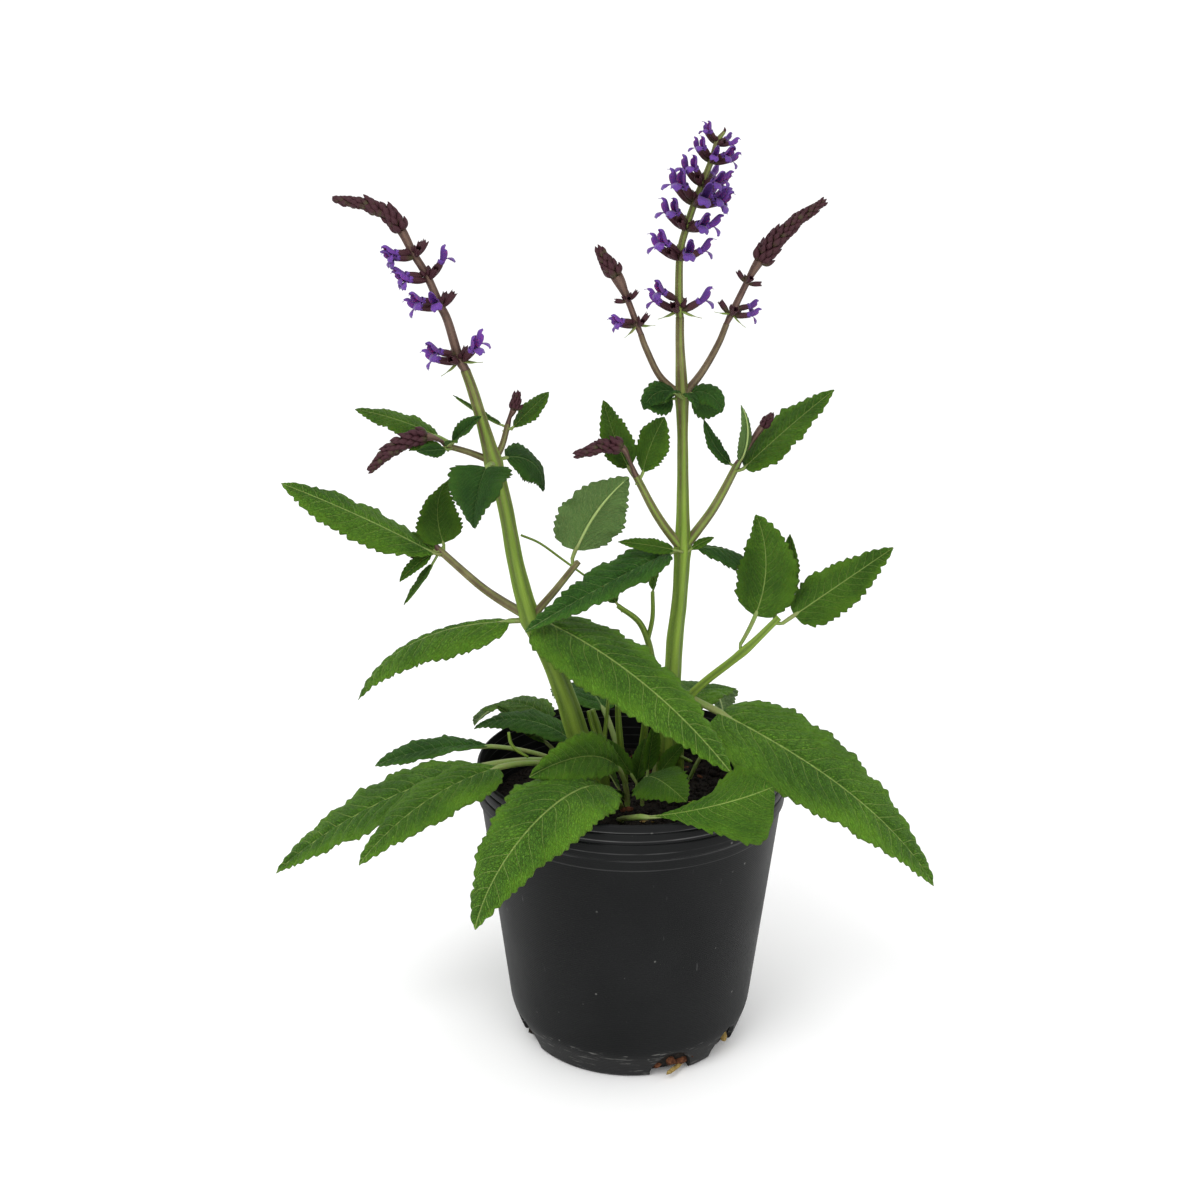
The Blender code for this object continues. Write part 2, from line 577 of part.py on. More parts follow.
# rows: the axis placed by hand, x, y, z, radius, from the end of the stem up; whorls: row, size,
# headings of the open florets round the axis, headings of those only in calyx; dense: the row that
# the closed bud head starts at, its number of scales and their size there and at the tip.
Spike = namedtuple("Spike", "name stem rows whorls dense")

SPIKES = (
    Spike("spike_left", STEM_LEFT,
          ((-86, -4, 372, 2.2), (-90.8, -5, 390, 2.0), (-94.5, -6, 398.5, 1.9),
           (-100, -7, 412, 1.8), (-106, -8, 422.5, 1.8), (-111, -9, 433, 2.2),
           (-117, -10, 440.5, 3.0), (-127, -11, 445, 2.6), (-141, -12, 447.5, 0.8)),
          ((0, 0.80, (185, 10, -35), (110, 65, -110)),
           (2, 0.75, (190, -90), (0, 65, 140)),
           (3, 0.75, (170, 15, 215), (-40, 90)),
           (4, 0.70, (180, 215), (15, -55, 55, 120))),
          (5, 16, 1.1, 0.7)),
    Spike("spike_right", STEM_RIGHT,
          ((22, 2, 396, 2.0), (22, 1, 421, 1.7), (25.2, 0, 435, 1.7), (29, 0, 446.5, 1.6),
           (32.3, 0, 455, 1.5), (36.4, 0, 465.5, 1.4), (38.8, 0, 473.5, 1.3), (42, 0, 478, 0.8)),
          ((0, 0.80, (178, -5), (72, -112)),
           (1, 0.80, (181, 3, -75), (94, -131)),
           (2, 0.80, (185, -8, -60), (98, -122)),
           (3, 0.85, (182, -25, 22, -80), (101, 139)),
           (4, 0.70, (185, 30, -60), (90, -120)),
           (5, 0.60, (180, -10, -90), (60, 130)),
           (6, 0.50, (20, 170), (-60, 100))),
          (7, 4, 0.6, 0.5)),
    Spike("spike_side_left", RIGHT_SHOOTS["high_left"],
          ((1, -4, 389, 1.5), (-3.6, -6, 401, 1.5), (-8.9, -8, 412, 2.8), (-17.7, -10, 424, 1.0)),
          ((0, 0.60, (175,), (10, -60, 90)),
           (1, 0.50, (), (180, 0, 80, -80))),
          (2, 12, 1.1, 0.7)),
    Spike("spike_side_right", RIGHT_SHOOTS["high_right"],
          ((48.8, 8, 393, 1.7), (56.2, 10, 408, 1.6), (61.5, 11, 417, 2.4), (69.3, 12, 427, 2.8),
           (80, 14, 436.5, 2.2), (92.3, 16, 444.5, 0.8)),
          ((0, 0.65, (-5,), (175, 60, -90)),
           (1, 0.55, (), (180, 0, 90, -90))),
          (2, 18, 1.15, 0.6)),
    Spike("bud_left_high_left", LEFT_SHOOTS["high_left"],
          ((-97, -4, 331, 1.0), (-103, -6, 333, 2.2), (-113, -8, 331, 3.6), (-123, -9, 325, 3.0),
           (-130, -10, 318, 1.2)), (), (1, 14, 1.15, 0.7)),
    Spike("bud_left_high_right", LEFT_SHOOTS["high_right"],
          ((-62, 4, 341, 1.0), (-60, 3.5, 345, 1.6), (-58, 3, 353, 1.4)), (), (1, 8, 0.8, 0.6)),
    Spike("bud_left_low_left", LEFT_SHOOTS["low_left"],
          ((-104.9, 24.2, 270.1, 0.9), (-108.8, 28, 268.8, 1.1), (-114, 27, 261, 1.5),
           (-118, 24, 255, 0.9)), (), (2, 6, 0.65, 0.5)),
    Spike("bud_right_low_left", RIGHT_SHOOTS["low_left"],
          ((-2, -6, 321, 0.9), (-6, -8, 328, 1.8), (-16, -9, 328, 3.0), (-27, -10, 325, 1.2)),
          (), (1, 12, 1.1, 0.7)),
    Spike("bud_right_low_right", RIGHT_SHOOTS["low_right"],
          ((57, 16, 319, 1.0), (62, 15, 328, 1.4), (66, 15, 334, 1.7), (71, 15, 340, 1.0)),
          (), (2, 8, 0.7, 0.5)),
)


def axis_frame(line, at):
    """The place on the axis, and its direction, its right and its back."""
    low = max(0, min(int(at), len(line) - 2))
    part = at - low
    place = line[low] + (line[low + 1] - line[low]) * part
    along = line[min(low + 1, len(line) - 1), :3] - line[max(low - 1, 0), :3]
    along = along / np.linalg.norm(along)
    back = np.array([0.0, 1.0, 0.0]) - along * along[1]
    back = back / np.linalg.norm(back)
    right = np.cross(back, along)
    return place, along, right, back


def strap(stations, size, frame, heading, operands, sides=4):
    """One petal, calyx or scale: a tapered bar of four sides, or three, that leaves the axis."""
    place, along, right, back = frame
    turn = math.radians(heading)
    out = right * math.cos(turn) + back * math.sin(turn)
    side = np.cross(along, out)
    sunk = place[:3] + out * place[3] * 0.4
    rings = []
    for index, (reach, up, wide, thick) in enumerate(stations):
        ahead = stations[min(index + 1, len(stations) - 1)]
        behind = stations[max(index - 1, 0)]
        lean = math.atan2(ahead[1] - behind[1], ahead[0] - behind[0])
        level = out * -math.sin(lean) + along * math.cos(lean)
        middle = sunk + (out * reach + along * up) * size
        ring = [middle + side * wide * size, middle + level * thick * size,
                middle - side * wide * size, middle - level * thick * size]
        rings.append(ring[:sides])
    return rings_solid("strap", rings, operands)


def make_spike(spike, collection, operands, coat):
    """A spike in one body: its axis with whorls of florets, and the closed head at its tip."""
    stem = np.array(spike.stem, dtype=float)
    along = stem[-1, :3] - stem[-2, :3]
    along = along / np.linalg.norm(along)
    foot = np.append(stem[-1, :3] + along * 2 * GAP, stem[-1, 3] * 0.9)
    line = np.vstack([foot, np.array(spike.rows, dtype=float)])
    axis = tube(spike.name, line, collection, 1)
    for row, size, open_headings, closed_headings in spike.whorls:
        frame = axis_frame(line, row + 1)
        for heading in open_headings:
            strap(HOODED, size, frame, heading, operands)
            strap(LOWER_LIP, size, frame, heading + LIP_TURN, operands, 3)
        for heading in closed_headings:
            strap(CALYX, size, frame, heading, operands, 3)
    first, count, size_low, size_tip = spike.dense
    for number in range(count):
        share = number / max(1, count - 1)
        at = first + 1 + (len(line) - 2.02 - first) * share
        size = size_low + (size_tip - size_low) * share
        strap(SCALE, size, axis_frame(line, at), number * GOLDEN_ANGLE, operands, 3)
    boolean(axis, "UNION", operands)
    return finish_piece(axis, spike.name, coat)


def make_crown(collection, operands, coat):
    """The growing point between the stems, with its young leaves fused to it."""
    line = np.array(CROWN, dtype=float)
    crown = tube("crown", line, collection, 1)
    for heading, size in CROWN_LEAVES:
        strap(YOUNG_LEAF, size, axis_frame(line, CROWN_LEAF_ROW), heading, operands)
    boolean(crown, "UNION", operands)
    return finish_piece(crown, "crown", coat)


# ------------------------------------------------------------------ the plant

def main():
    clear_scene()
    salvia = new_collection("salvia")
    operands = new_collection("operands")
    plastic = material("black_plastic", (0.012, 0.013, 0.015), 0.45)
    mix = material("potting_mix", (0.02, 0.014, 0.01), 0.95)
    green_stem = material("stem_green", (0.16, 0.24, 0.05), 0.5)
    violet = material("corolla_violet", (0.10, 0.03, 0.35), 0.5)
    maroon = material("bud_maroon", (0.07, 0.03, 0.05), 0.6)
    leaf_coats = {
        "mid": material("leaf_mid", (0.05, 0.15, 0.03), 0.5),
        "dark": material("leaf_dark", (0.02, 0.08, 0.03), 0.5),
        "young": material("leaf_young", (0.12, 0.26, 0.04), 0.5),
        "pale": material("leaf_pale", (0.10, 0.20, 0.06), 0.55),
    }
    make_pot(salvia, operands, plastic)
    rooted = [STEM_LEFT, STEM_RIGHT, LOW_SHOOT, CENTRE_SHOOT, CROWN, *THIN_SHOOTS]
    make_mix(salvia, operands, rooted, mix)
    make_stem("stem_left", STEM_LEFT, LEFT_SHOOTS.values(), salvia, operands, green_stem)
    make_stem("stem_right", STEM_RIGHT, RIGHT_SHOOTS.values(), salvia, operands, green_stem)
    make_stem("low_shoot", LOW_SHOOT, (), salvia, operands, green_stem, 1)
    make_stem("centre_shoot", CENTRE_SHOOT, (CENTRE_BRANCH,), salvia, operands, green_stem, 1)
    make_crown(salvia, operands, leaf_coats["young"])
    for number, line in enumerate(THIN_SHOOTS, 1):
        make_stem(f"thin_shoot_{number}", line, (), salvia, operands, green_stem, 1)
    for leaf in LEAVES:
        make_leaf(leaf, salvia, leaf_coats)
    for spike in SPIKES:
        make_spike(spike, salvia, operands, violet if spike.whorls else maroon)


main()
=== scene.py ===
# %% [markdown]
# # A perennial salvia in its nursery pot
#
# This lesson dresses a plain model of a young salvia. The frame holds plain solids for the pot,
# the potting mix, the stems, each leaf and each flower spike, all in one place and at real size.
# A finer piece takes the place of each solid, where the solid stands: leaves with veins and toothed
# edges, square stems, florets with a hood and a lip. Lengths below are millimetres, because that
# is how one measures a plant, and MM turns them into Blender's metres.

# %% Load the frame
import json
import math
from collections import namedtuple

import bmesh
import bpy
import numpy as np
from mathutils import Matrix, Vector

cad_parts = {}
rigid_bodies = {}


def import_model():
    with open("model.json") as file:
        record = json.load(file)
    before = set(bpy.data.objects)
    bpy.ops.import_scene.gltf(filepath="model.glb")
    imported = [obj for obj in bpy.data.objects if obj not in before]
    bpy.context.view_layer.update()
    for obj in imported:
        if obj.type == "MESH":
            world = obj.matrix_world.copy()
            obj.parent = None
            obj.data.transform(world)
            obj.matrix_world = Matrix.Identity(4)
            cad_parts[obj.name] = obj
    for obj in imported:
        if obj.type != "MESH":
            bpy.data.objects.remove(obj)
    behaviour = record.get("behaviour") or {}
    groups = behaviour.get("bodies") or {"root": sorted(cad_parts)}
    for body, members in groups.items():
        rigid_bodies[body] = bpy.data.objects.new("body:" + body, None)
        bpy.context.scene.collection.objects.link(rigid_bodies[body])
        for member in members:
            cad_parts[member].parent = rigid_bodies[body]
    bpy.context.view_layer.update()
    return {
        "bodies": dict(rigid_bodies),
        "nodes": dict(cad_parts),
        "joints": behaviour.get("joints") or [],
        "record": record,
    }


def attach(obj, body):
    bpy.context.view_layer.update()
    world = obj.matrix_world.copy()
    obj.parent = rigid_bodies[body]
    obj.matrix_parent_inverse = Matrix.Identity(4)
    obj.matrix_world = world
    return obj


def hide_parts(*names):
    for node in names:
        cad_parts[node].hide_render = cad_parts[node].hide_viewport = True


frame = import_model()
MM = 0.001
print("solids in the frame:", len(frame["nodes"]))

# %% [markdown]
# ## The camera
#
# The camera looks a little down on the plant, from a step away. It could be aimed by hand in the
# viewport, but its height, distance and tilt are the numbers that a photographer would note, so
# they are named here and the camera is placed from them.

# %% Camera
EYE = (-16.7, -746.0, 484.0)
TILT_BELOW_LEVEL = 17.7
SENSOR = 36.0
FOCAL_OVER_WIDTH = 1.258

camera = bpy.data.objects.new("camera", bpy.data.cameras.new("camera"))
camera.data.sensor_width = SENSOR
camera.data.lens = SENSOR * FOCAL_OVER_WIDTH
camera.location = Vector(EYE) * MM
camera.rotation_euler = (math.radians(90.0 - TILT_BELOW_LEVEL), 0.0, 0.0)
bpy.context.scene.collection.objects.link(camera)
bpy.context.scene.camera = camera
print("lens:", round(camera.data.lens, 1), "mm")

# %% [markdown]
# ## Shader maths as plain Python
#
# A material in Blender is a graph of nodes. Wiring it by hand takes four lines for each sum, so
# this small class wraps one socket and gives it Python's operators: `1 - mask * 0.5` then adds the
# two Math nodes itself. Every other kind of node comes from its one method `node`.

# %% Signal: a socket that takes operators
class Signal:
    """An output socket of a material's tree. Signal(tree) alone is used to start a graph."""

    def __init__(self, tree, socket=None):
        self.tree = tree
        self.socket = socket

    def node(self, kind, settings=None, inputs=None, output=0):
        """Add a node: its settings first, then the values or links of its sockets."""
        made = self.tree.nodes.new(kind)
        for name, value in (settings or {}).items():
            setattr(made, name, value)
        for name, value in (inputs or {}).items():
            if isinstance(value, Signal):
                self.tree.links.new(value.socket, made.inputs[name])
            else:
                made.inputs[name].default_value = value
        return Signal(self.tree, made.outputs[output])

    def maths(self, operation, *values):
        return self.node("ShaderNodeMath", {"operation": operation}, dict(enumerate(values)))

    def __gt__(self, other):
        return self.maths("GREATER_THAN", self, other)

    def __abs__(self):
        return self.maths("ABSOLUTE", self)

    def sine(self):
        return self.maths("SINE", self)

    def fraction(self):
        return self.maths("FRACT", self)


def add_operator(name, operation):
    """Give Signal an operator, with the signal on its left side or on its right."""
    setattr(Signal, f"__{name}__", lambda left, right: left.maths(operation, left, right))
    setattr(Signal, f"__r{name}__", lambda right, left: right.maths(operation, left, right))


OPERATORS = {"add": "ADD", "sub": "SUBTRACT", "mul": "MULTIPLY", "truediv": "DIVIDE"}
for name, operation in OPERATORS.items():
    add_operator(name, operation)
print("operators ready:", *OPERATORS)

# %% [markdown]
# A few words on top of that class keep the materials short: a soft step between two values, a mix
# of two colours, and the two textures that most natural finishes are made of, noise and cells.

# %% Words for materials
def soft_step(value, low, high):
    """0 below low, 1 above high and a smooth ramp between."""
    return value.node("ShaderNodeMapRange", {"interpolation_type": "SMOOTHSTEP"},
                      {0: value, 1: low, 2: high})


def tint(share, under, over):
    """Lay one colour over another by a share from 0 to 1; a plain colour is three numbers."""
    under, over = (colour if isinstance(colour, Signal) else (*colour, 1.0)
                   for colour in (under, over))
    return share.node("ShaderNodeMix", {"data_type": "RGBA"}, {0: share, 6: under, 7: over}, 2)


def paint(colour, *coats):
    """Lay coats over a colour one after the other; each is its share and its colour."""
    for share, coat in coats:
        colour = tint(share, colour, coat)
    return colour


def shade(colour, factor):
    """The same colour, brighter or darker."""
    return tuple(value * factor for value in colour)


def noise(where, scale, detail=2.0, roughness=0.5):
    return where.node("ShaderNodeTexNoise", None,
                      {"Vector": where, "Scale": scale, "Detail": detail, "Roughness": roughness})


def cells(where, scale, feature="F1"):
    return where.node("ShaderNodeTexVoronoi", {"feature": feature}, {"Vector": where, "Scale": scale})


def stretch(where, scale):
    """Scale a place differently along its three axes."""
    return where.node("ShaderNodeVectorMath", {"operation": "MULTIPLY"}, {0: where, 1: scale})


def split(where):
    """The three numbers of a place."""
    parts = where.node("ShaderNodeSeparateXYZ", None, {0: where}).socket.node.outputs
    return [Signal(where.tree, part) for part in parts]


def join(start, x, y, z=0.0):
    return start.node("ShaderNodeCombineXYZ", None, {0: x, 1: y, 2: z})


def new_finish(name):
    """A material, the start of its graph and the place of each point in the object's own space."""
    made = bpy.data.materials.new(name)
    made.use_nodes = True
    start = Signal(made.node_tree)
    where = start.node("ShaderNodeTexCoord", None, None, 3)
    return made, start, where


def layer(start, name):
    """The two numbers that a mesh keeps for each corner under this name."""
    return split(start.node("ShaderNodeUVMap", {"uv_map": name}))[:2]


def set_finish(made, colour, roughness, height=None, relief=0.0, **constants):
    """Feed a material's shader: colour and roughness, and a height in millimetres of relief."""
    shader = made.node_tree.nodes["Principled BSDF"]
    start = Signal(made.node_tree)
    for name, value in {"Base Color": colour, "Roughness": roughness}.items():
        if isinstance(value, Signal):
            made.node_tree.links.new(value.socket, shader.inputs[name])
        else:
            shader.inputs[name].default_value = value
    if height is not None:
        bump = start.node("ShaderNodeBump", None,
                          {"Strength": 1.0, "Distance": relief * MM, "Height": height})
        made.node_tree.links.new(bump.socket, shader.inputs["Normal"])
    for name, value in constants.items():
        shader.inputs[name.replace("_", " ")].default_value = value
    return made


print("material words ready")

# %% [markdown]
# ## The finish of a leaf
#
# A salvia's blade is puckered like seersucker. A pale midrib runs to the tip, side veins leave it
# and bend forward, and a fine net between them stands out in small cushions. The pattern could be
# painted, but a formula stays sharp at any distance. The mesh keeps for each corner how far it lies
# along and across the blade, counted in spaces between side veins, so one formula serves every
# leaf. The same numbers shape the mesh further down, so that colour and relief agree.

# %% How veins run
VEIN_LEAN = 0.80          # how far forward a side vein gets for each step outward
VEIN_CURVE = 0.16         # and how much more of that with the square of the distance
VEIN_WAVE = 0.10
NET_ALONG = 5.2           # cells of the net for each space between side veins
NET_ACROSS = 4.4


def vein_beat(along, across_size, sine):
    """Whole numbers and a half lie on side veins; it works on sockets and on arrays alike."""
    wave = VEIN_WAVE * sine(along * 1.1 + across_size * 2.3)
    return along - VEIN_LEAN * across_size - VEIN_CURVE * across_size * across_size + wave


def leaf_pattern(start):
    """Masks of the midrib, the side veins and the net, and the height of the cushions."""
    along, across = layer(start, "veins")
    share, _ = layer(start, "share")
    size = abs(across)
    beat = vein_beat(along, size, Signal.sine)
    shifted = beat + 0.5 * (across > 0.0)
    gap = abs(shifted.fraction() - 0.5)
    rib = 1.0 - soft_step(size + share * 0.03, 0.035, 0.085)
    vein = (1.0 - soft_step(gap, 0.010, 0.042)) * (1.0 - 0.6 * soft_step(size, 0.3, 1.9))
    net_place = join(start, beat * NET_ALONG, across * NET_ACROSS)
    net = 1.0 - soft_step(cells(net_place, 1.0, "DISTANCE_TO_EDGE"), 0.02, 0.15)
    fine_place = join(start, beat * NET_ALONG * 2.6, across * NET_ACROSS * 2.6)
    fine = soft_step(cells(fine_place, 1.0, "DISTANCE_TO_EDGE"), 0.0, 0.30)
    return rib, vein, net, fine


def leaf_face(name, deep, bright, vein_colour):
    """The upper face of a blade: sunken veins, with cushions between them, and painted light on that
    relief.
    """
    made, start, where = new_finish(name)
    rib, vein, net, fine = leaf_pattern(start)
    _, across_share = layer(start, "share")
    patches = soft_step(noise(where, 38.0, 3.0), 0.35, 0.68)
    glint_speckle = soft_step(noise(where, 900.0, 2.0), 0.3, 0.75)
    sunlit = soft_step(abs(across_share) + noise(where, 55.0, 2.0) - 0.5, 0.45, 1.0)
    margin = soft_step(abs(across_share), 0.92, 1.0)
    # Painted highlight on the cushion tops, painted shade in the hollows and along the sunken net, and a
    # painted sunlit tint towards the margins.
    colour = paint(deep, (patches, bright), (glint_speckle * fine * 0.42, shade(bright, 1.75)),
                   ((1.0 - fine) * 0.46, shade(deep, 0.40)), (net * 0.50, shade(deep, 0.45)),
                   (vein * 0.60, vein_colour), (rib * 0.92, shade(vein_colour, 1.15)),
                   (sunlit * 0.38, (*shade(bright[:2], 1.25), bright[2] * 0.7)),
                   (margin * 0.30, (0.070, 0.070, 0.020)))
    height = fine * 0.55 + (1.0 - net) * 0.75 - vein * 0.5 - rib * 0.4
    roughness = 0.55 + 0.12 * fine + 0.1 * net
    return set_finish(made, colour, roughness, height, 0.65, Subsurface_Weight=0.06,
                      Subsurface_Scale=0.0006, Specular_IOR_Level=0.12)


def leaf_back(name, base, vein_colour):
    """The under face: paler and greyer, with every vein raised."""
    made, start, where = new_finish(name)
    rib, vein, net, fine = leaf_pattern(start)
    patches = soft_step(noise(where, 45.0, 3.0), 0.35, 0.7)
    colour = paint(base, (patches, shade(base, 1.35)), (net * 0.35, vein_colour),
                   (vein * 0.75, vein_colour), (rib, vein_colour))
    height = vein * 0.9 + net * 0.5 + rib * 0.6 - fine * 0.2
    return set_finish(made, colour, 0.62, height, 0.30, Subsurface_Weight=0.06,
                      Subsurface_Scale=0.0006, Specular_IOR_Level=0.30)


# For each tone: the deep green, the bright one and the colour of the veins.
LEAF_TONES = {
    "mid": ((0.054, 0.142, 0.013), (0.116, 0.262, 0.022), (0.280, 0.390, 0.100)),
    "dark": ((0.032, 0.106, 0.015), (0.070, 0.192, 0.028), (0.190, 0.300, 0.095)),
    "young": ((0.058, 0.165, 0.012), (0.114, 0.262, 0.020), (0.310, 0.430, 0.100)),
    "pale": ((0.055, 0.120, 0.022), (0.095, 0.180, 0.034), (0.270, 0.360, 0.130)),
}
BACK = (0.064, 0.132, 0.027)
BACK_VEIN = (0.215, 0.305, 0.095)
leaf_faces = {tone: leaf_face(f"leaf_{tone}_face", *colours) for tone, colours in LEAF_TONES.items()}
leaf_under = leaf_back("leaf_under_face", BACK, BACK_VEIN)
print("leaf finishes:", sorted(leaf_faces))

# %% [markdown]
# ## Stems and stalks
#
# The stem of every plant of the mint family is square, with a groove down each face. It is yellow
# green low down, striped darker in the grooves, and turns olive and purple brown higher up. The
# mesh keeps how far round and along the stem a corner lies, and how brown it is there.

# %% Stem finish
def stem_finish(name):
    made, start, where = new_finish(name)
    around, along = layer(start, "round")
    brown, _ = layer(start, "tone")
    ridge = 0.5 + 0.5 * (around * (8.0 * math.pi)).sine()
    streak = soft_step(noise(join(start, around * 26.0, along * 0.05), 1.0, 3.0), 0.30, 0.72)
    blotch = soft_step(noise(where, 120.0, 2.0), 0.35, 0.7)
    green = tint(ridge * 0.65 + streak * 0.35, (0.070, 0.122, 0.012), (0.190, 0.290, 0.034))
    spots = ridge * 0.5 + blotch * 0.5
    dull = tint(spots, (0.082, 0.062, 0.026), (0.185, 0.170, 0.070))
    purple = tint(spots, (0.050, 0.024, 0.020), (0.140, 0.085, 0.062))
    fluff = soft_step(noise(stretch(where, (1.0, 1.0, 0.35)), 2600.0, 1.0), 0.58, 0.78)
    share = soft_step(brown + (streak - 0.5) * 0.5 + (0.5 - ridge) * 0.25, 0.15, 0.85)
    colour = paint(green, (share, dull), (soft_step(brown, 0.80, 1.0), purple),
                   (fluff * 0.14, (0.42, 0.46, 0.24)))
    height = streak * 0.4 + fluff * 0.6
    return set_finish(made, colour, 0.56, height, 0.12, Specular_IOR_Level=0.22,
                      Subsurface_Weight=0.05, Subsurface_Scale=0.0008)


stem_skin = stem_finish("stem_skin")
print("stem finish:", stem_skin.name)

# %% [markdown]
# ## Flowers
#
# The corolla is a saturated violet, bluer on the lip and deeper in the throat. The calyx is a dark
# maroon that still shows a little green at its base. Each floret gets its own shade, because no
# two open on the same day: the mesh keeps one chance number for each.

# %% Flower finishes
def corolla_finish(name):
    made, start, _ = new_finish(name)
    chance, depth = layer(start, "tone")
    around, along = layer(start, "round")
    lines = soft_step(noise(join(start, around * 30.0, along * 0.4), 1.0, 2.0), 0.42, 0.70)
    colour = paint((0.046, 0.007, 0.115), (chance, (0.100, 0.018, 0.225)),
                   (soft_step(depth, 0.35, 1.0) * 0.55, (0.120, 0.042, 0.310)),
                   (lines * 0.35, (0.040, 0.006, 0.150)))
    return set_finish(made, colour, 0.5, lines, 0.08, Subsurface_Weight=0.08,
                      Subsurface_Scale=0.0008, Sheen_Weight=0.15, Specular_IOR_Level=0.3)


def calyx_finish(name):
    made, start, where = new_finish(name)
    chance, depth = layer(start, "tone")
    around, _ = layer(start, "round")
    ribs = 0.5 + 0.5 * (around * (24.0 * math.pi)).sine()
    fluff = soft_step(noise(where, 2400.0, 1.0), 0.60, 0.80)
    ripe = soft_step(depth + (chance - 0.5) * 0.5, 0.0, 0.55)
    colour = paint((0.062, 0.055, 0.022), (ripe, (0.050, 0.013, 0.019)),
                   (ribs * 0.45, (0.020, 0.006, 0.009)), (fluff * 0.20, (0.20, 0.11, 0.11)))
    return set_finish(made, colour, 0.60, ribs * 0.7 + fluff * 0.5, 0.10, Specular_IOR_Level=0.22)


corolla_skin = corolla_finish("corolla_skin")
calyx_skin = calyx_finish("calyx_skin")
print("flower finishes:", corolla_skin.name, calyx_skin.name)

# %% [markdown]
# ## The pot's plastic and the potting mix
#
# A nursery pot is thin recycled plastic. Its wall carries faint rings from the mould, dust in
# specks and pale scuffs round the foot where it has been slid about, and painted highlight lines
# under the rim where its ridges catch the light. Potting mix is almost black when moist, so its
# finish is mostly roughness, and its look comes from real crumbs.

# %% Pot and soil finishes
SCUFF_TOP = 16.0
# Heights of the painted highlight lines below the rim, and how strongly each shows.
RIM_HIGHLIGHT_LINES = ((153.2, 0.55), (148.6, 0.60), (141.8, 0.50), (137.0, 0.30), (131.5, 0.22))


def grey(level):
    return (level, level, level)


def plastic_finish(name):
    made, _, where = new_finish(name)
    _, _, height_m = split(where)
    level = height_m / MM
    rings = (level * 5.2 + noise(where, 14.0) * 5.0).sine()
    cloud = soft_step(noise(where, 22.0, 4.0), 0.30, 0.75)
    colour = tint(cloud, (0.0048, 0.0052, 0.0054), (0.0085, 0.0090, 0.0092))
    broken = soft_step(noise(stretch(where, (30.0, 30.0, 400.0)), 1.0, 3.0), 0.32, 0.62)
    # Painted highlights: thin pale lines where the rim's ridges would catch the light.
    for highlight_level, strength in RIM_HIGHLIGHT_LINES:
        line = 1.0 - soft_step(abs(level - highlight_level), 0.10, 0.45)
        colour = tint(line * broken * strength, colour, grey(0.13))
    speck = 1.0 - soft_step(cells(where, 130.0), 0.05, 0.11)
    chosen = soft_step(noise(where, 60.0, 1.0), 0.56, 0.60)
    drag = noise(stretch(where, (90.0, 90.0, 700.0)), 1.0, 4.0, 0.62)
    low = 1.0 - soft_step(level, SCUFF_TOP - 5.0, SCUFF_TOP + 2.0)
    edge = 1.0 - soft_step(abs(level - SCUFF_TOP), 0.3, 1.8)
    scuff = soft_step(drag, 0.56, 0.66) * (low * 0.45 + edge * 0.5)
    wisps = soft_step(noise(stretch(where, (260.0, 260.0, 40.0)), 1.0, 3.0, 0.7), 0.70, 0.76)
    colour = paint(colour, (speck * chosen * 0.55, (0.16, 0.16, 0.15)), (low * 0.5, grey(0.022)),
                   (scuff, (0.17, 0.17, 0.16)), (wisps * 0.30, grey(0.10)))
    roughness = 0.44 + 0.12 * cloud + 0.25 * scuff
    grain = noise(where, 1500.0, 2.0)
    return set_finish(made, colour, roughness, rings * 0.35 + grain * 0.5 + scuff, 0.05,
                      Specular_IOR_Level=0.10)


def soil_finish(name, dark, light):
    made, _, where = new_finish(name)
    lumps = noise(where, 420.0, 4.0, 0.6)
    fibre = soft_step(noise(stretch(where, (1.0, 0.35, 1.0)), 1900.0, 2.0), 0.62, 0.75)
    colour = paint(dark, (soft_step(lumps, 0.35, 0.75), light), (fibre * 0.35, (0.075, 0.045, 0.025)))
    return set_finish(made, colour, 0.92, lumps + fibre * 0.4, 0.5, Specular_IOR_Level=0.2)


pot_plastic = plastic_finish("pot_plastic")
peat = soil_finish("peat", (0.0045, 0.0035, 0.0028), (0.020, 0.014, 0.010))
bark = soil_finish("bark", (0.050, 0.016, 0.007), (0.170, 0.065, 0.028))
straw = soil_finish("straw", (0.200, 0.130, 0.035), (0.520, 0.400, 0.150))
grit = soil_finish("grit", (0.280, 0.260, 0.220), (0.560, 0.540, 0.490))
print("pot and soil finishes ready")

# %% [markdown]
# ## From grids of points to one mesh
#
# Nearly everything on a plant can be laid out as a grid: rows along it and columns across or
# around it. Skin collects such grids and makes them one object. Each corner also keeps a few
# numbers, such as how far round a stem it lies, and those numbers are what the finishes above read.
# They ride in UV layers, which a mesh may have several of.

# %% Skin: grids that become one piece
def add_object(name, mesh):
    """An object of this mesh, with the faces of every closed body turned outward."""
    work = bmesh.new()
    work.from_mesh(mesh)
    bmesh.ops.recalc_face_normals(work, faces=work.faces)
    work.to_mesh(mesh)
    work.free()
    made = bpy.data.objects.new(name, mesh)
    bpy.context.scene.collection.objects.link(made)
    return made


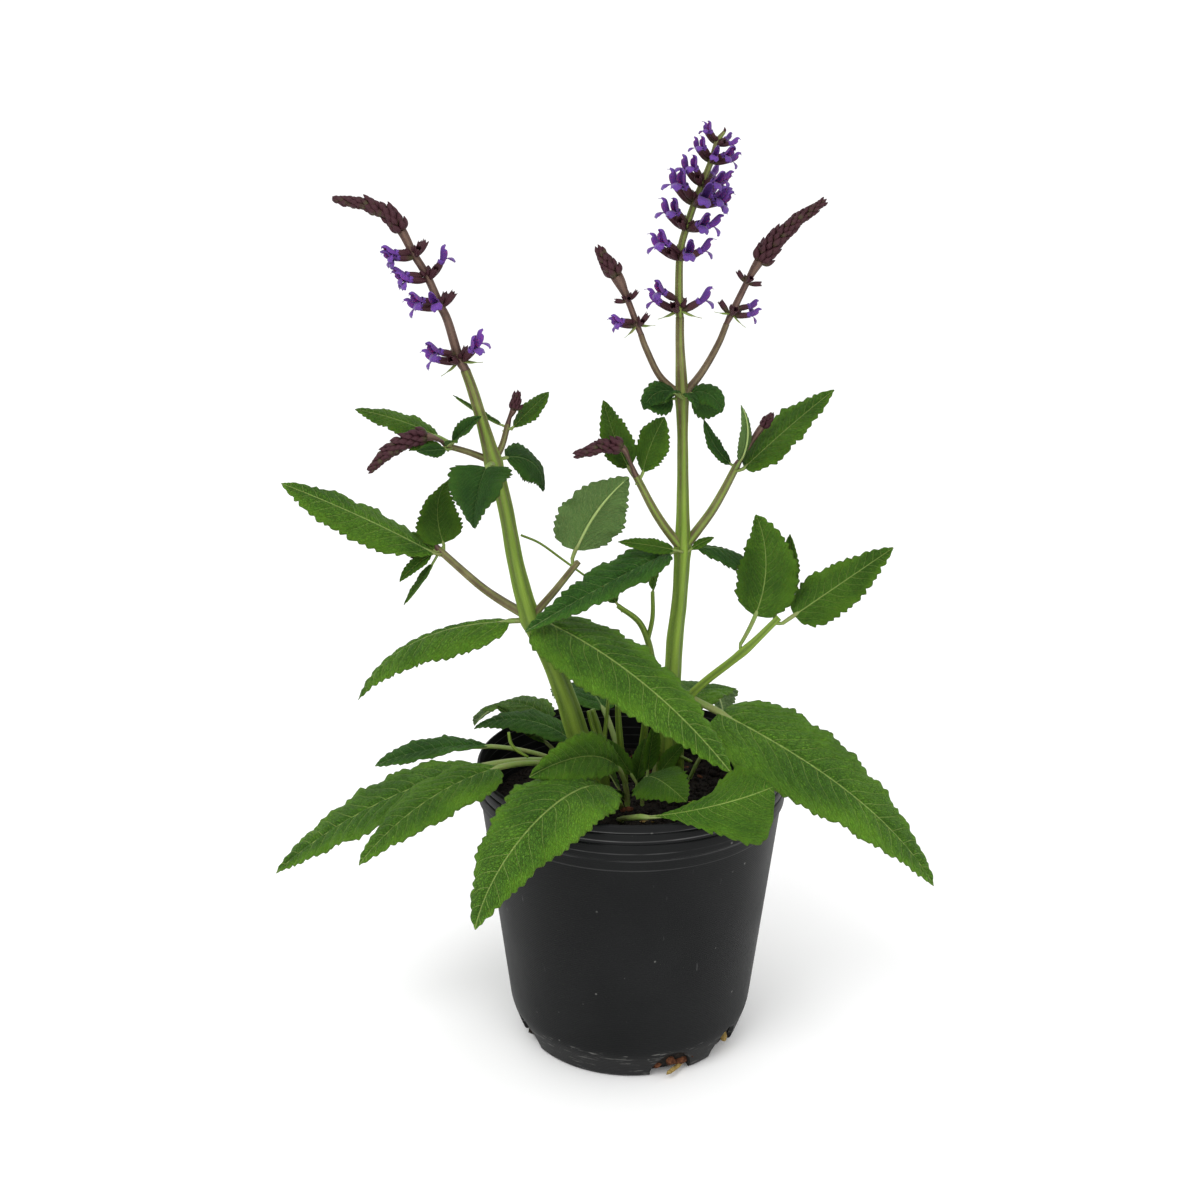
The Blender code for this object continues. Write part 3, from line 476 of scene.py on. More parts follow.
class Skin:
    """Collects grids of points in millimetres, with named numbers at their corners."""

    def __init__(self, *layers):
        self.points = []
        self.faces = []
        self.slots = []
        self.corners = {name: [] for name in layers}
        self.count = 0

    def grid(self, points, values, slots=0, ring=False):
        """rows x columns x 3 points; a ring is closed round and at both ends, and its values have
        one column more."""
        rows, columns = points.shape[:2]
        spans = columns if ring else columns - 1
        row, column = np.meshgrid(np.arange(rows - 1), np.arange(spans), indexing="ij")
        after = (column + 1) % columns
        quads = np.stack([row * columns + column, row * columns + after,
                          (row + 1) * columns + after, (row + 1) * columns + column], -1)
        self.faces += (quads.reshape(-1, 4) + self.count).tolist()
        self.slots.append(np.broadcast_to(slots, row.shape).ravel())
        for name, value in values.items():
            corners = np.stack([value[row, column], value[row, column + 1],
                                value[row + 1, column + 1], value[row + 1, column]], -2)
            self.corners[name].append(corners.reshape(-1, 2))
        if ring:
            for end in (0, rows - 1):
                self.faces.append((end * columns + np.arange(columns) + self.count).tolist())
                self.slots.append(np.ravel(slots)[:1] if np.ndim(slots) else np.array([slots]))
                for name, value in values.items():
                    self.corners[name].append(value[end, :columns])
        self.points.append(points.reshape(-1, 3))
        self.count += rows * columns

    def piece(self, name, *materials):
        """The collected grids as one object."""
        mesh = bpy.data.meshes.new(name)
        mesh.from_pydata((np.concatenate(self.points) * MM).tolist(), [], self.faces)
        mesh.polygons.foreach_set("material_index", np.concatenate(self.slots).astype(np.int32))
        for layer_name, corners in self.corners.items():
            layer_made = mesh.uv_layers.new(name=layer_name)
            layer_made.data.foreach_set("uv", np.concatenate(corners).astype(np.float32).ravel())
        made = add_object(name, mesh)
        mesh.shade_smooth()
        for coat in materials:
            mesh.materials.append(coat)
        return made


triangle_counts = {}


def show(made, slot, *nodes):
    """Fix a piece to the plant, and let it stand for the plain solids of the frame it replaces."""
    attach(made, "root")
    if nodes:
        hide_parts(*nodes)
    triangle_counts[made.name] = sum(len(face.vertices) - 2 for face in made.data.polygons)
    return made


def smooth_line(points, step):
    """Points about `step` apart on a smooth curve through the given ones."""
    knots = np.array(points, dtype=float)
    padded = np.vstack([2 * knots[0] - knots[1], knots, 2 * knots[-1] - knots[-2]])
    line = [knots[0]]
    for index in range(1, len(padded) - 2):
        before, start, end, after = padded[index - 1:index + 3]
        count = max(1, round(np.linalg.norm((end - start)[:3]) / step))
        for part in range(1, count + 1):
            t = part / count
            line.append(0.5 * (2 * start + (end - before) * t
                               + (2 * before - 5 * start + 4 * end - after) * t * t
                               + (3 * start - before - 3 * end + after) * t ** 3))
    return np.array(line)


# Corners of a square tube, and the furrow along the middle of each of its faces.
CORNER_TURN = 1 / 16      # brings the stripes of a stem's finish onto the corners
FURROW_WIDTH = 0.22


def unit(vectors):
    """Each of many vectors at length 1."""
    return vectors / np.linalg.norm(vectors, axis=-1, keepdims=True)


def direction(vector):
    """One vector at length 1."""
    return vector / np.linalg.norm(vector)


def distance_along(points):
    """How far along its line each point lies."""
    return np.concatenate([[0.0], np.cumsum(np.linalg.norm(np.diff(points, axis=0), axis=1))])


def circle(count):
    """Angles of this many points round a circle."""
    return np.arange(count) / count * 2 * math.pi


def square_section(columns, edge, groove):
    """Radii round a section: edge swells four corners and groove sinks the faces between."""
    angle = circle(columns)
    from_face = np.abs((angle / (math.pi / 2)) % 1.0 - 0.5) * math.pi / 2
    return 1.0 + edge * np.cos(4 * angle) - groove * np.exp(-(from_face / FURROW_WIDTH) ** 2)


def pair(first, second, shape):
    """Two numbers for each corner of a grid of this shape."""
    return np.stack([np.broadcast_to(first, shape), np.broadcast_to(second, shape)], -1)


def both_faces(values):
    """A sheet's columns there along one face, back along the other, and the first once more."""
    return np.concatenate([values, values[:, ::-1], values[:, :1]], axis=1)


def tube_points(centre, side, up, reach, flat=1.0):
    """Points round a line, at a reach for each row and column; flat presses the tube down."""
    angle = circle(reach.shape[1])
    ways = side[:, None] * np.cos(angle)[None, :, None]
    ways = ways + up[:, None] * flat * np.sin(angle)[None, :, None]
    return centre[:, None] + reach[..., None] * ways


def loft(skin, line, section, values, side=(1.0, 0.2, 0.0), slot=0, waver=None):
    """A closed tube along (x, y, z, radius) whose square edges keep one direction all the way."""
    centre, radius = line[:, :3], line[:, 3]
    tangent = unit(np.gradient(centre, axis=0))
    across = np.array(side, dtype=float)
    sides = []
    for row in tangent:
        across = direction(across - row * (across @ row))
        sides.append(across)
    sides = np.array(sides)
    reach = radius[:, None] * section[None, :]
    if waver is not None:
        reach = reach * waver
    shape = (len(line), len(section) + 1)
    turn = np.arange(shape[1]) / len(section) + CORNER_TURN
    skin.grid(tube_points(centre, sides, np.cross(tangent, sides), reach),
              {"round": pair(turn, distance_along(centre)[:, None], shape),
               "tone": np.broadcast_to(values[:, None], (*shape, 2))}, slot, ring=True)


print("tools for meshes ready")

# %% [markdown]
# ## The pot
#
# This is a nursery pot of thin plastic: a tapered wall, a band with two grooves under the rim,
# and drain holes cut across the corner of wall and floor. A profile turned round the axis gives
# the body. The holes are cut from it by tilted cylinders, so that each opens at a slant.

# %% Pot
RIM_RADIUS = 82.5
POT_HEIGHT = 157.0
BAND_HEIGHT = 19.0
BAND_STEP = 1.6
SHOULDER_RADIUS = 66.5
SHOULDER_HEIGHT = 17.0
FOOT_RADIUS = 60.0
WALL = 1.4
FLOOR = 1.8
RIM_ROUND = 1.5           # the rounded edge of the rim
RIM_THICK = 2.9           # the rim and its band are thicker than the wall
GROOVE = 0.7
GROOVE_HALF = 1.1         # half of a groove's height
GROOVE_DROPS = (4.6, 10.4)
FOOT_ROUND = 0.7          # the rounded edge of the foot
RING_WIDTH = 9.0          # from the foot's edge in to where the underside is raised
FLOOR_RAISED = 0.8        # how far off the ground the underside is there
DRAIN_HEADINGS = (-154, -70, -36, 20, 82, 145)
DRAIN_RADIUS = 7.5
DRAIN_STRETCH = 1.5
DRAIN_AWAY = 63.0
DRAIN_HEIGHT = 4.0
DRAIN_LENGTH = 22.0
DRAIN_LEAN = 52.0
DRAIN_COLUMNS = 40
POT_COLUMNS = 192
SHARP_ANGLE = 40


def wall_radius(height):
    """The outside of the tapered wall at a height above the shoulder."""
    band_foot = POT_HEIGHT - BAND_HEIGHT
    top = RIM_RADIUS - BAND_STEP
    share = (height - SHOULDER_HEIGHT) / (band_foot - SHOULDER_HEIGHT)
    return SHOULDER_RADIUS + (top - SHOULDER_RADIUS) * share


def bend(start, corner, end, parts):
    """A rounded corner of the profile, drawn as a short quadratic curve."""
    t = np.linspace(0.0, 1.0, parts)[:, None]
    start, corner, end = (np.array(point, dtype=float) for point in (start, corner, end))
    return ((1 - t) ** 2 * start + 2 * t * (1 - t) * corner + t * t * end).tolist()


def pot_profile():
    """Radius and height pairs, down the outside from the rim and up the inside."""
    band_foot = POT_HEIGHT - BAND_HEIGHT
    foot_wall = wall_radius(band_foot)
    profile = bend((RIM_RADIUS - RIM_ROUND, POT_HEIGHT), (RIM_RADIUS, POT_HEIGHT),
                   (RIM_RADIUS, POT_HEIGHT - 1.2), 6)
    for drop in GROOVE_DROPS:
        level = POT_HEIGHT - drop
        lowest = (RIM_RADIUS - GROOVE, level)
        profile += bend((RIM_RADIUS, level + GROOVE_HALF), (RIM_RADIUS, level + 0.5), lowest, 4)
        profile += bend(lowest, (RIM_RADIUS, level - 0.5), (RIM_RADIUS, level - GROOVE_HALF), 4)[1:]
    profile += bend((RIM_RADIUS - 0.1, band_foot + 1.4), (RIM_RADIUS - 0.2, band_foot + 0.1),
                    (foot_wall + 0.5, band_foot), 5)
    profile += bend((foot_wall + 0.3, band_foot), (foot_wall, band_foot),
                    (wall_radius(band_foot - 2), band_foot - 2), 3)
    profile += [(wall_radius(level), level) for level in np.linspace(band_foot - 10, 24, 12)]
    lean = (SHOULDER_RADIUS - FOOT_RADIUS - FOOT_ROUND) / (SHOULDER_HEIGHT - 1.0)
    profile += bend((wall_radius(21), 21), (SHOULDER_RADIUS, SHOULDER_HEIGHT),
                    (SHOULDER_RADIUS - 4 * lean, SHOULDER_HEIGHT - 4), 5)
    profile += bend((FOOT_RADIUS + FOOT_ROUND + 1.5 * lean, 2.5), (FOOT_RADIUS + 0.5, 0.0),
                    (FOOT_RADIUS - 1.0, 0.0), 4)
    inner_ring = FOOT_RADIUS - RING_WIDTH
    profile += [(FOOT_RADIUS - 6.0, 0.0), (inner_ring, FLOOR_RAISED), (0.0, FLOOR_RAISED),
                (0.0, FLOOR + FLOOR_RAISED), (inner_ring, FLOOR + FLOOR_RAISED),
                (FOOT_RADIUS - WALL, FLOOR), (SHOULDER_RADIUS - WALL, SHOULDER_HEIGHT),
                (wall_radius(band_foot) - WALL, band_foot)]
    profile += bend((RIM_RADIUS - RIM_THICK, band_foot + 2.0), (RIM_RADIUS - 2.6, POT_HEIGHT),
                    (RIM_RADIUS - RIM_ROUND, POT_HEIGHT), 4)[:-1]
    return profile


def make_pot():
    """The profile turned round the axis; a point on the axis is shared by all columns."""
    points, faces, rings = [], [], []
    for radius, level in pot_profile():
        if radius == 0.0:
            rings.append([len(points)] * POT_COLUMNS)
            points.append((0.0, 0.0, level))
            continue
        rings.append(list(range(len(points), len(points) + POT_COLUMNS)))
        for column in range(POT_COLUMNS):
            angle = column / POT_COLUMNS * 2 * math.pi
            points.append((radius * math.cos(angle), radius * math.sin(angle), level))
    for upper, lower in zip(rings, rings[1:] + rings[:1]):
        for column in range(POT_COLUMNS):
            after = (column + 1) % POT_COLUMNS
            face = dict.fromkeys((upper[column], upper[after], lower[after], lower[column]))
            if len(face) > 2:
                faces.append(list(face))
    mesh = bpy.data.meshes.new("nursery_pot")
    mesh.from_pydata([Vector(point) * MM for point in points], [], faces)
    return add_object("nursery_pot", mesh)


def drain_cutter(heading):
    """A slanted cylinder, wider than high and a little ragged."""
    turn, lean = math.radians(heading), math.radians(DRAIN_LEAN)
    out = np.array([math.cos(turn), math.sin(turn), 0.0])
    axis = out * math.sin(lean) + np.array([0.0, 0.0, math.cos(lean)])
    level = np.array([-out[1], out[0], 0.0])
    flat = np.cross(axis, level)
    across = level * DRAIN_STRETCH
    middle = out * DRAIN_AWAY + np.array([0.0, 0.0, DRAIN_HEIGHT])
    angle = np.linspace(0.0, 2 * math.pi, DRAIN_COLUMNS, endpoint=False)
    ragged = 1.0 + 0.03 * np.sin(3 * angle + heading) + 0.02 * np.sin(7 * angle + 2 * heading)
    rim = ragged[:, None] * DRAIN_RADIUS * (np.cos(angle)[:, None] * flat
                                           + np.sin(angle)[:, None] * across)
    skin = Skin()
    skin.grid(np.stack([middle + rim + axis * DRAIN_LENGTH * part for part in (-0.5, 0.5)]), {},
              ring=True)
    return skin.piece("drain_cutter")


def cut_drain_holes(pot):
    """Slanted cylinders taken from the corner of wall and floor."""
    cutters = bpy.data.collections.new("drain_cutters")
    for heading in DRAIN_HEADINGS:
        hole = drain_cutter(heading)
        bpy.context.scene.collection.objects.unlink(hole)
        cutters.objects.link(hole)
    cut = pot.modifiers.new("cut", "BOOLEAN")
    cut.operation = "DIFFERENCE"
    cut.operand_type = "COLLECTION"
    cut.collection = cutters
    cut.solver = "EXACT"
    bpy.context.view_layer.update()
    graph = bpy.context.evaluated_depsgraph_get()
    mesh = bpy.data.meshes.new_from_object(pot.evaluated_get(graph))
    pot.modifiers.remove(cut)
    pot.data = mesh
    for hole in list(cutters.objects):
        bpy.data.objects.remove(hole, do_unlink=True)
    bpy.data.collections.remove(cutters)


nursery_pot = make_pot()
cut_drain_holes(nursery_pot)
nursery_pot.data.materials.clear()
nursery_pot.data.materials.append(pot_plastic)
nursery_pot.data.shade_smooth()
nursery_pot.data.set_sharp_from_angle(angle=math.radians(SHARP_ANGLE))
show(nursery_pot, "black_plastic", "pot")
print("pot faces:", len(nursery_pot.data.polygons))

# %% [markdown]
# ## The potting mix
#
# The mix stands well below the rim and rises a little round the crown. Its body is a plug with an
# uneven top. On it lie crumbs of peat, a few chips of bark and some pale grains, each a small lump
# with a random shape. A texture alone would look like painted cloth, because the crumbs of the
# real mix throw shadows on each other.

# %% Potting mix
SOIL_TOP = 129.0
MOUND_HEIGHT = 3.0
MOUND_RADIUS = 34.0
GAP = 0.3                 # between the mix and the wall, and between a stem and what grows from it
SOIL_SEED = 7
SOIL_COLUMNS = 220
SOIL_RINGS = 76
LUMP_ROWS = 5
LUMP_COLUMNS = 7
LUMP_POLE = 0.12          # how far from its poles a lump's outer rings lie, as an angle
PEAT, BARK, STRAW, GRIT = range(4)
# Crumbs, large crumbs, bark, grit and straw: how many, finish, least and greatest size, shape.
KINDS = ((1500, PEAT, (0.7, 2.2), (1.0, 0.8, 0.6)), (150, PEAT, (2.2, 3.8), (1.0, 0.8, 0.55)),
         (44, BARK, (2.2, 4.6), (1.0, 0.5, 0.25)), (26, GRIT, (0.5, 1.1), (1.0, 0.8, 0.7)),
         (30, STRAW, (1.6, 4.0), (1.0, 0.16, 0.14)))
# Chips that show in the drain holes: place, size, finish and shape.
HOLE_CHIPS = (
    ((14, -56, 6), 5.0, BARK, (1.0, 0.5, 0.5)), ((20, -57, 8), 5.5, BARK, (1.0, 0.6, 0.4)),
    ((26, -54, 6), 5.0, BARK, (1.0, 0.5, 0.5)), ((31, -52, 9), 4.0, BARK, (1.0, 0.6, 0.4)),
    ((24, -57, 4), 9.0, STRAW, (1.0, 0.14, 0.12)), ((50, -36, 9), 5.0, STRAW, (1.0, 0.5, 0.4)),
    ((-52, -27, 7), 5.0, PEAT, (1.0, 0.7, 0.5)),
)


def soil_height(x, y):
    """The mix's top: a low mound round the plant, and gentle lumps out to the wall."""
    away = np.hypot(x, y)
    mound = MOUND_HEIGHT * np.exp(-(away / MOUND_RADIUS) ** 2)
    lumps = 0.9 * np.sin(x * 0.21 + 1.0) * np.cos(y * 0.18) * np.minimum(1.0, away / 60.0)
    return SOIL_TOP + mound + lumps


def hashed(first, second, seed):
    """A repeatable chance number from 0 to 1 for each pair of whole numbers."""
    mixed = np.sin(first * 127.1 + second * 311.7 + seed * 74.7) * 43758.5453
    return mixed - np.floor(mixed)


def domes(x, y, seed=0.0):
    """Distance to the nearest of jittered cell centres: small domes when subtracted from 1."""
    nearest = np.full(np.broadcast(x, y).shape, 9.0)
    base_x, base_y = np.floor(x), np.floor(y)
    for step_x in (-1, 0, 1):
        for step_y in (-1, 0, 1):
            cell_x, cell_y = base_x + step_x, base_y + step_y
            centre_x = cell_x + 0.15 + 0.7 * hashed(cell_x, cell_y, seed)
            centre_y = cell_y + 0.15 + 0.7 * hashed(cell_y, cell_x, seed + 5.0)
            nearest = np.minimum(nearest, np.hypot(x - centre_x, y - centre_y))
    return nearest


def lump(chance, middle, size, shape):
    """A small stone-like body: a ball of rings, knocked out of round."""
    polar = np.linspace(LUMP_POLE, math.pi - LUMP_POLE, LUMP_ROWS)[:, None]
    angle = np.linspace(0.0, 2 * math.pi, LUMP_COLUMNS, endpoint=False)[None, :]
    ball = np.stack([np.sin(polar) * np.cos(angle), np.sin(polar) * np.sin(angle),
                     np.cos(polar) * np.ones_like(angle)], -1)
    knocks = chance.uniform(-0.28, 0.28, (LUMP_ROWS, LUMP_COLUMNS, 1))
    ball = ball * (1.0 + knocks) * np.array(shape)
    turn = Vector(chance.normal(size=3)).normalized()
    spin = np.array(turn.to_track_quat("Z", "Y").to_matrix())
    return ball @ spin.T * size + middle


def make_mix():
    chance = np.random.default_rng(SOIL_SEED)
    skin = Skin()
    angle = np.linspace(0.0, 2 * math.pi, SOIL_COLUMNS, endpoint=False)
    inner = wall_radius(SOIL_TOP) - WALL - GAP
    rows = []
    for radius in np.linspace(1.0, inner, SOIL_RINGS):
        x, y = radius * np.cos(angle), radius * np.sin(angle)
        rough = 1.0 - domes(x / 3.4, y / 3.4, 1.0)
        fine = 1.0 - domes(x / 1.5, y / 1.5, 2.0)
        rows.append(np.stack([x, y, soil_height(x, y) + 1.3 * rough + 0.7 * fine - 1.2], -1))
    for radius, level in ((SHOULDER_RADIUS - WALL - GAP, SHOULDER_HEIGHT),
                          (FOOT_RADIUS - WALL - GAP, FLOOR + 1.0), (1.0, FLOOR + 1.0)):
        rows.append(np.stack([radius * np.cos(angle), radius * np.sin(angle),
                              np.full(SOIL_COLUMNS, level)], -1))
    skin.grid(np.stack(rows), {}, ring=True)
    for count, slot, (smallest, largest), shape in KINDS:
        for _ in range(count):
            away = (inner - largest) * math.sqrt(chance.uniform())
            turn = chance.uniform(0.0, 2 * math.pi)
            x, y = away * math.cos(turn), away * math.sin(turn)
            size = smallest + (largest - smallest) * chance.uniform() ** 2
            level = float(soil_height(np.float64(x), np.float64(y))) + size * 0.15
            skin.grid(lump(chance, np.array([x, y, level]), size, shape), {}, slot, ring=True)
    for place, size, slot, shape in HOLE_CHIPS:
        skin.grid(lump(chance, np.array(place), size, shape), {}, slot, ring=True)
    return skin.piece("potting_mix_crumbs", peat, bark, straw, grit)


show(make_mix(), "potting_mix", "potting_mix")
print("mix triangles:", triangle_counts["potting_mix_crumbs"])

# %% [markdown]
# ## The stems
#
# The two flowering stems rise from the crown and lean apart. They swell a little at each node,
# where a pair of leaves and a pair of side shoots leave them. Each is a square section drawn along a
# smooth line. The shoots start inside the stem, so that no gap opens at the node.

# %% Where the stems run: x, y, z and radius, from the root up
STEM_LEFT = ((-16, 12, 114, 6.0), (-18, 12, 133, 6.0), (-22, 11.2, 147, 5.9), (-28, 10, 164, 5.8),
             (-35, 9, 188, 5.2), (-44, 8, 213, 4.7), (-53, 6, 234, 4.8), (-60, 4, 263, 4.0),
             (-65, 2, 295, 3.6), (-70.5, 0, 319, 3.9), (-75, -2, 338, 2.9), (-79.5, -3, 355, 2.5),
             (-83, -4, 366, 2.3))
LEFT_SHOOTS = {
    "low_left": ((-53, 6, 234, 2.6), (-77, 14, 247, 2.2), (-102, 22, 267, 1.9)),
    "low_right": ((-53, 6, 234, 2.2), (-41, 3, 249, 1.9), (-28, -2, 267, 1.6)),
    "high_left": ((-70.5, 0, 319, 1.8), (-82, -1, 324, 1.5), (-93, -2, 327.5, 1.4)),
    "high_right": ((-70.5, 0, 319, 1.8), (-66, 2, 327, 1.5), (-63, 4, 337.5, 1.4)),
}

STEM_RIGHT = ((16, 12, 114, 4.8), (18, 12, 133, 4.8), (20, 11, 165, 4.6), (22, 10, 198, 4.3),
              (23, 9, 222, 4.2), (25, 8, 244, 3.8), (26, 7, 271, 3.9), (25.7, 6, 299, 3.0),
              (25, 5, 330, 2.6), (24.3, 4, 351, 3.0), (22.8, 3, 378, 2.1), (22.5, 2, 391, 2.0))
RIGHT_SHOOTS = {
    "low_left": ((26, 7, 271, 2.4), (13, 1, 290, 2.1), (1.4, -4, 312.6, 1.7)),
    "low_right": ((26, 7, 271, 2.6), (42, 12, 292, 2.3), (54, 16, 314, 1.9)),
    "high_left": ((24.3, 4, 351, 2.0), (13, 2, 362, 1.6), (6, -1, 376, 1.5), (3.2, -3, 383.5, 1.4)),
    "high_right": ((24.3, 4, 351, 2.2), (34, 6, 363, 1.8), (42, 7, 377, 1.6), (46, 8, 387, 1.5)),
}
LOW_SHOOT = ((27, 22, 116, 2.6), (27, 21, 133, 2.6), (27, 15, 168, 2.5), (32, 8, 190, 2.4),
             (59, 0, 218, 2.2), (77, 4, 235, 1.8))
CENTRE_SHOOT = ((4, 34, 116, 2.0), (5, 34, 133, 2.0), (9, 32, 168, 1.9), (12, 31, 198, 1.8),
                (6, 35, 220, 1.6), (-7, 40, 230, 1.3))
CENTRE_BRANCH = ((9, 33, 211, 1.3), (12, 37, 224, 1.2), (12, 40, 238, 1.0))
THIN_SHOOTS = (((-12, 30, 116, 1.8), (-13, 30, 133, 1.8), (-17, 31, 158, 1.7), (-21, 32, 172, 1.4)),
               ((-3, 24, 116, 1.8), (-3, 24, 133, 1.8), (-6, 24, 160, 1.7), (-7, 24, 178, 1.4)))
BROWN_FROM = 235.0        # below this height a stem is green
BROWN_FULL = 430.0        # above this one it is all purple brown
# Side shoots are each of one colour: how brown those are that end high, left and elsewhere.
HIGH_SHOOTS, HIGH_BROWN = 360.0, 0.92
LEFT_SHOOTS_END, LEFT_BROWN = -25.0, 0.84
OTHER_BROWN = 0.60
NODE_SWELL = 0.16
NODE_REACH = 4.0          # how far above and below a node the stem is thicker
STEM_STEP = 1.6
STEM_EDGE = 0.09
STEM_GROOVE = 0.05
STEM_WAVER = 0.012
STEM_COLUMNS = 32
SHOOT_COLUMNS = 20
THREAD_COLUMNS = 10

# %% Stems as square tubes
def stem_tube(skin, rows, columns, nodes=(), tone=None):
    """One stem or shoot; nodes are the rows of its table where leaves leave it."""
    line = smooth_line(rows, STEM_STEP)
    for index in nodes:
        gap = np.abs(line[:, 2] - rows[index][2])
        line[:, 3] *= 1.0 + NODE_SWELL * np.exp(-(gap / NODE_REACH) ** 2)
    brown = (line[:, 2] - BROWN_FROM) / (BROWN_FULL - BROWN_FROM)
    if tone is not None:
        brown = np.full(len(line), tone)
    values = np.stack([np.clip(brown, 0.0, 1.0), np.linspace(0.0, 1.0, len(line))], -1)
    run = np.arange(len(line))[:, None] * STEM_STEP
    waver = 1.0 + STEM_WAVER * np.sin(run * 0.31 + np.arange(columns)[None, :] * 0.4)
    loft(skin, line, square_section(columns, STEM_EDGE, STEM_GROOVE), values, waver=waver)


def shoot_tone(shoot):
    """How brown a side shoot is; the centre shoot's branch is green, like all that grows low."""
    if shoot is CENTRE_BRANCH:
        return None
    x, _, height, _ = shoot[-1]
    if height > HIGH_SHOOTS:
        return HIGH_BROWN
    return LEFT_BROWN if x < LEFT_SHOOTS_END else OTHER_BROWN


def make_stem(name, main, shoots=(), nodes=(), columns=SHOOT_COLUMNS):
    skin = Skin("round", "tone")
    stem_tube(skin, main, columns, nodes)
    for shoot in shoots:
        stem_tube(skin, shoot, SHOOT_COLUMNS, tone=shoot_tone(shoot))
    return show(skin.piece(f"square_{name}", stem_skin), "stem_green", name)


make_stem("stem_left", STEM_LEFT, LEFT_SHOOTS.values(), (2, 6, 9), STEM_COLUMNS)
make_stem("stem_right", STEM_RIGHT, RIGHT_SHOOTS.values(), (6, 9), STEM_COLUMNS)
make_stem("low_shoot", LOW_SHOOT, (), (4,))
make_stem("centre_shoot", CENTRE_SHOOT, (CENTRE_BRANCH,))
for number, rows in enumerate(THIN_SHOOTS, 1):
    make_stem(f"thin_shoot_{number}", rows)

# Thin dry stalks between the leaves, and a curled one between the two stems.
THIN_STALKS = (
    ((-64, -22, 181, 0.7), (-63, -22, 175, 0.8), (-60, -22, 171, 0.8), (-54, -22, 167, 0.6)),
    ((-23, 10, 180, 0.9), (-21, 10, 171, 1.0), (-17, 11, 158, 1.0), (-14, 12, 132, 1.1)),
    ((-12, 12, 188, 0.9), (-13, 12, 176, 1.0), (-14, 13, 160, 1.0), (-12, 14, 132, 1.1)),
    ((33, 6, 152, 0.8), (27, 6, 155, 0.8), (21, 7, 157, 0.9), (20, 9, 160, 0.8)),
    ((-58, 14, 277, 0.6), (-48, 14, 272.5, 0.6), (-36, 14, 263.5, 0.6), (-17, 14, 249, 0.5)),
)


def make_thin_stalks():
    skin = Skin("round", "tone")
    for rows in THIN_STALKS:
        stem_tube(skin, rows, THREAD_COLUMNS)
    return show(skin.piece("thin_dry_stalks", stem_skin), "stem_brown")


make_thin_stalks()
print("stem triangles:", {name: count for name, count in triangle_counts.items() if "square" in name})

# %% [markdown]
# ## The leaves, one row each
#
# Every leaf is the same kind of thing, so each is one row of numbers and one recipe makes them all.
# Its stalk sets out from a node with a heading and a rise, and from there the midrib bends down and
# sideways as it goes. That gives a leaf the easy arc that it has in life. The row also says how the
# blade rolls and twists about its midrib, and how its two halves fold.

# %% Leaf table
# seat: the node, shoot end or place (x, y) on the mix that it grows from; heading, rise: the way its
# stalk sets out; droop, sweep: how far it bends down and sideways by its tip; bend: 1 droops evenly,
# less droops early and more droops late; peak: how far along the blade it is widest; roll, twist: the
# blade's tilt about its midrib at the base, and what the tip adds; fold, curl: how far each half is
# raised at the midrib, and how much more it bends by the margin.
Leaf = namedtuple("Leaf", "name seat heading rise droop bend sweep stalk petiole blade width peak"
                          " roll twist fold curl tone")

# Places on the stems that leaves grow from: a row of the stem's own table.
NODES = {
    "left_foot": (STEM_LEFT, 1),
    "left_base": (STEM_LEFT, 2),
    "left_low": (STEM_LEFT, 6),
    "left_high": (STEM_LEFT, 9),
    "right_low": (STEM_RIGHT, 6),
    "right_high": (STEM_RIGHT, 9),
    "low_base": (LOW_SHOOT, 3),
    "low_fork": (LOW_SHOOT, 4),
}
# Shoots that carry leaves at their ends.
ENDS = {
    "left_low_left": LEFT_SHOOTS["low_left"],
    "left_low_right": LEFT_SHOOTS["low_right"],
    "left_high_left": LEFT_SHOOTS["high_left"],
    "left_high_right": LEFT_SHOOTS["high_right"],
    "right_low_left": RIGHT_SHOOTS["low_left"],
    "right_low_right": RIGHT_SHOOTS["low_right"],
    "low_end": LOW_SHOOT,
}

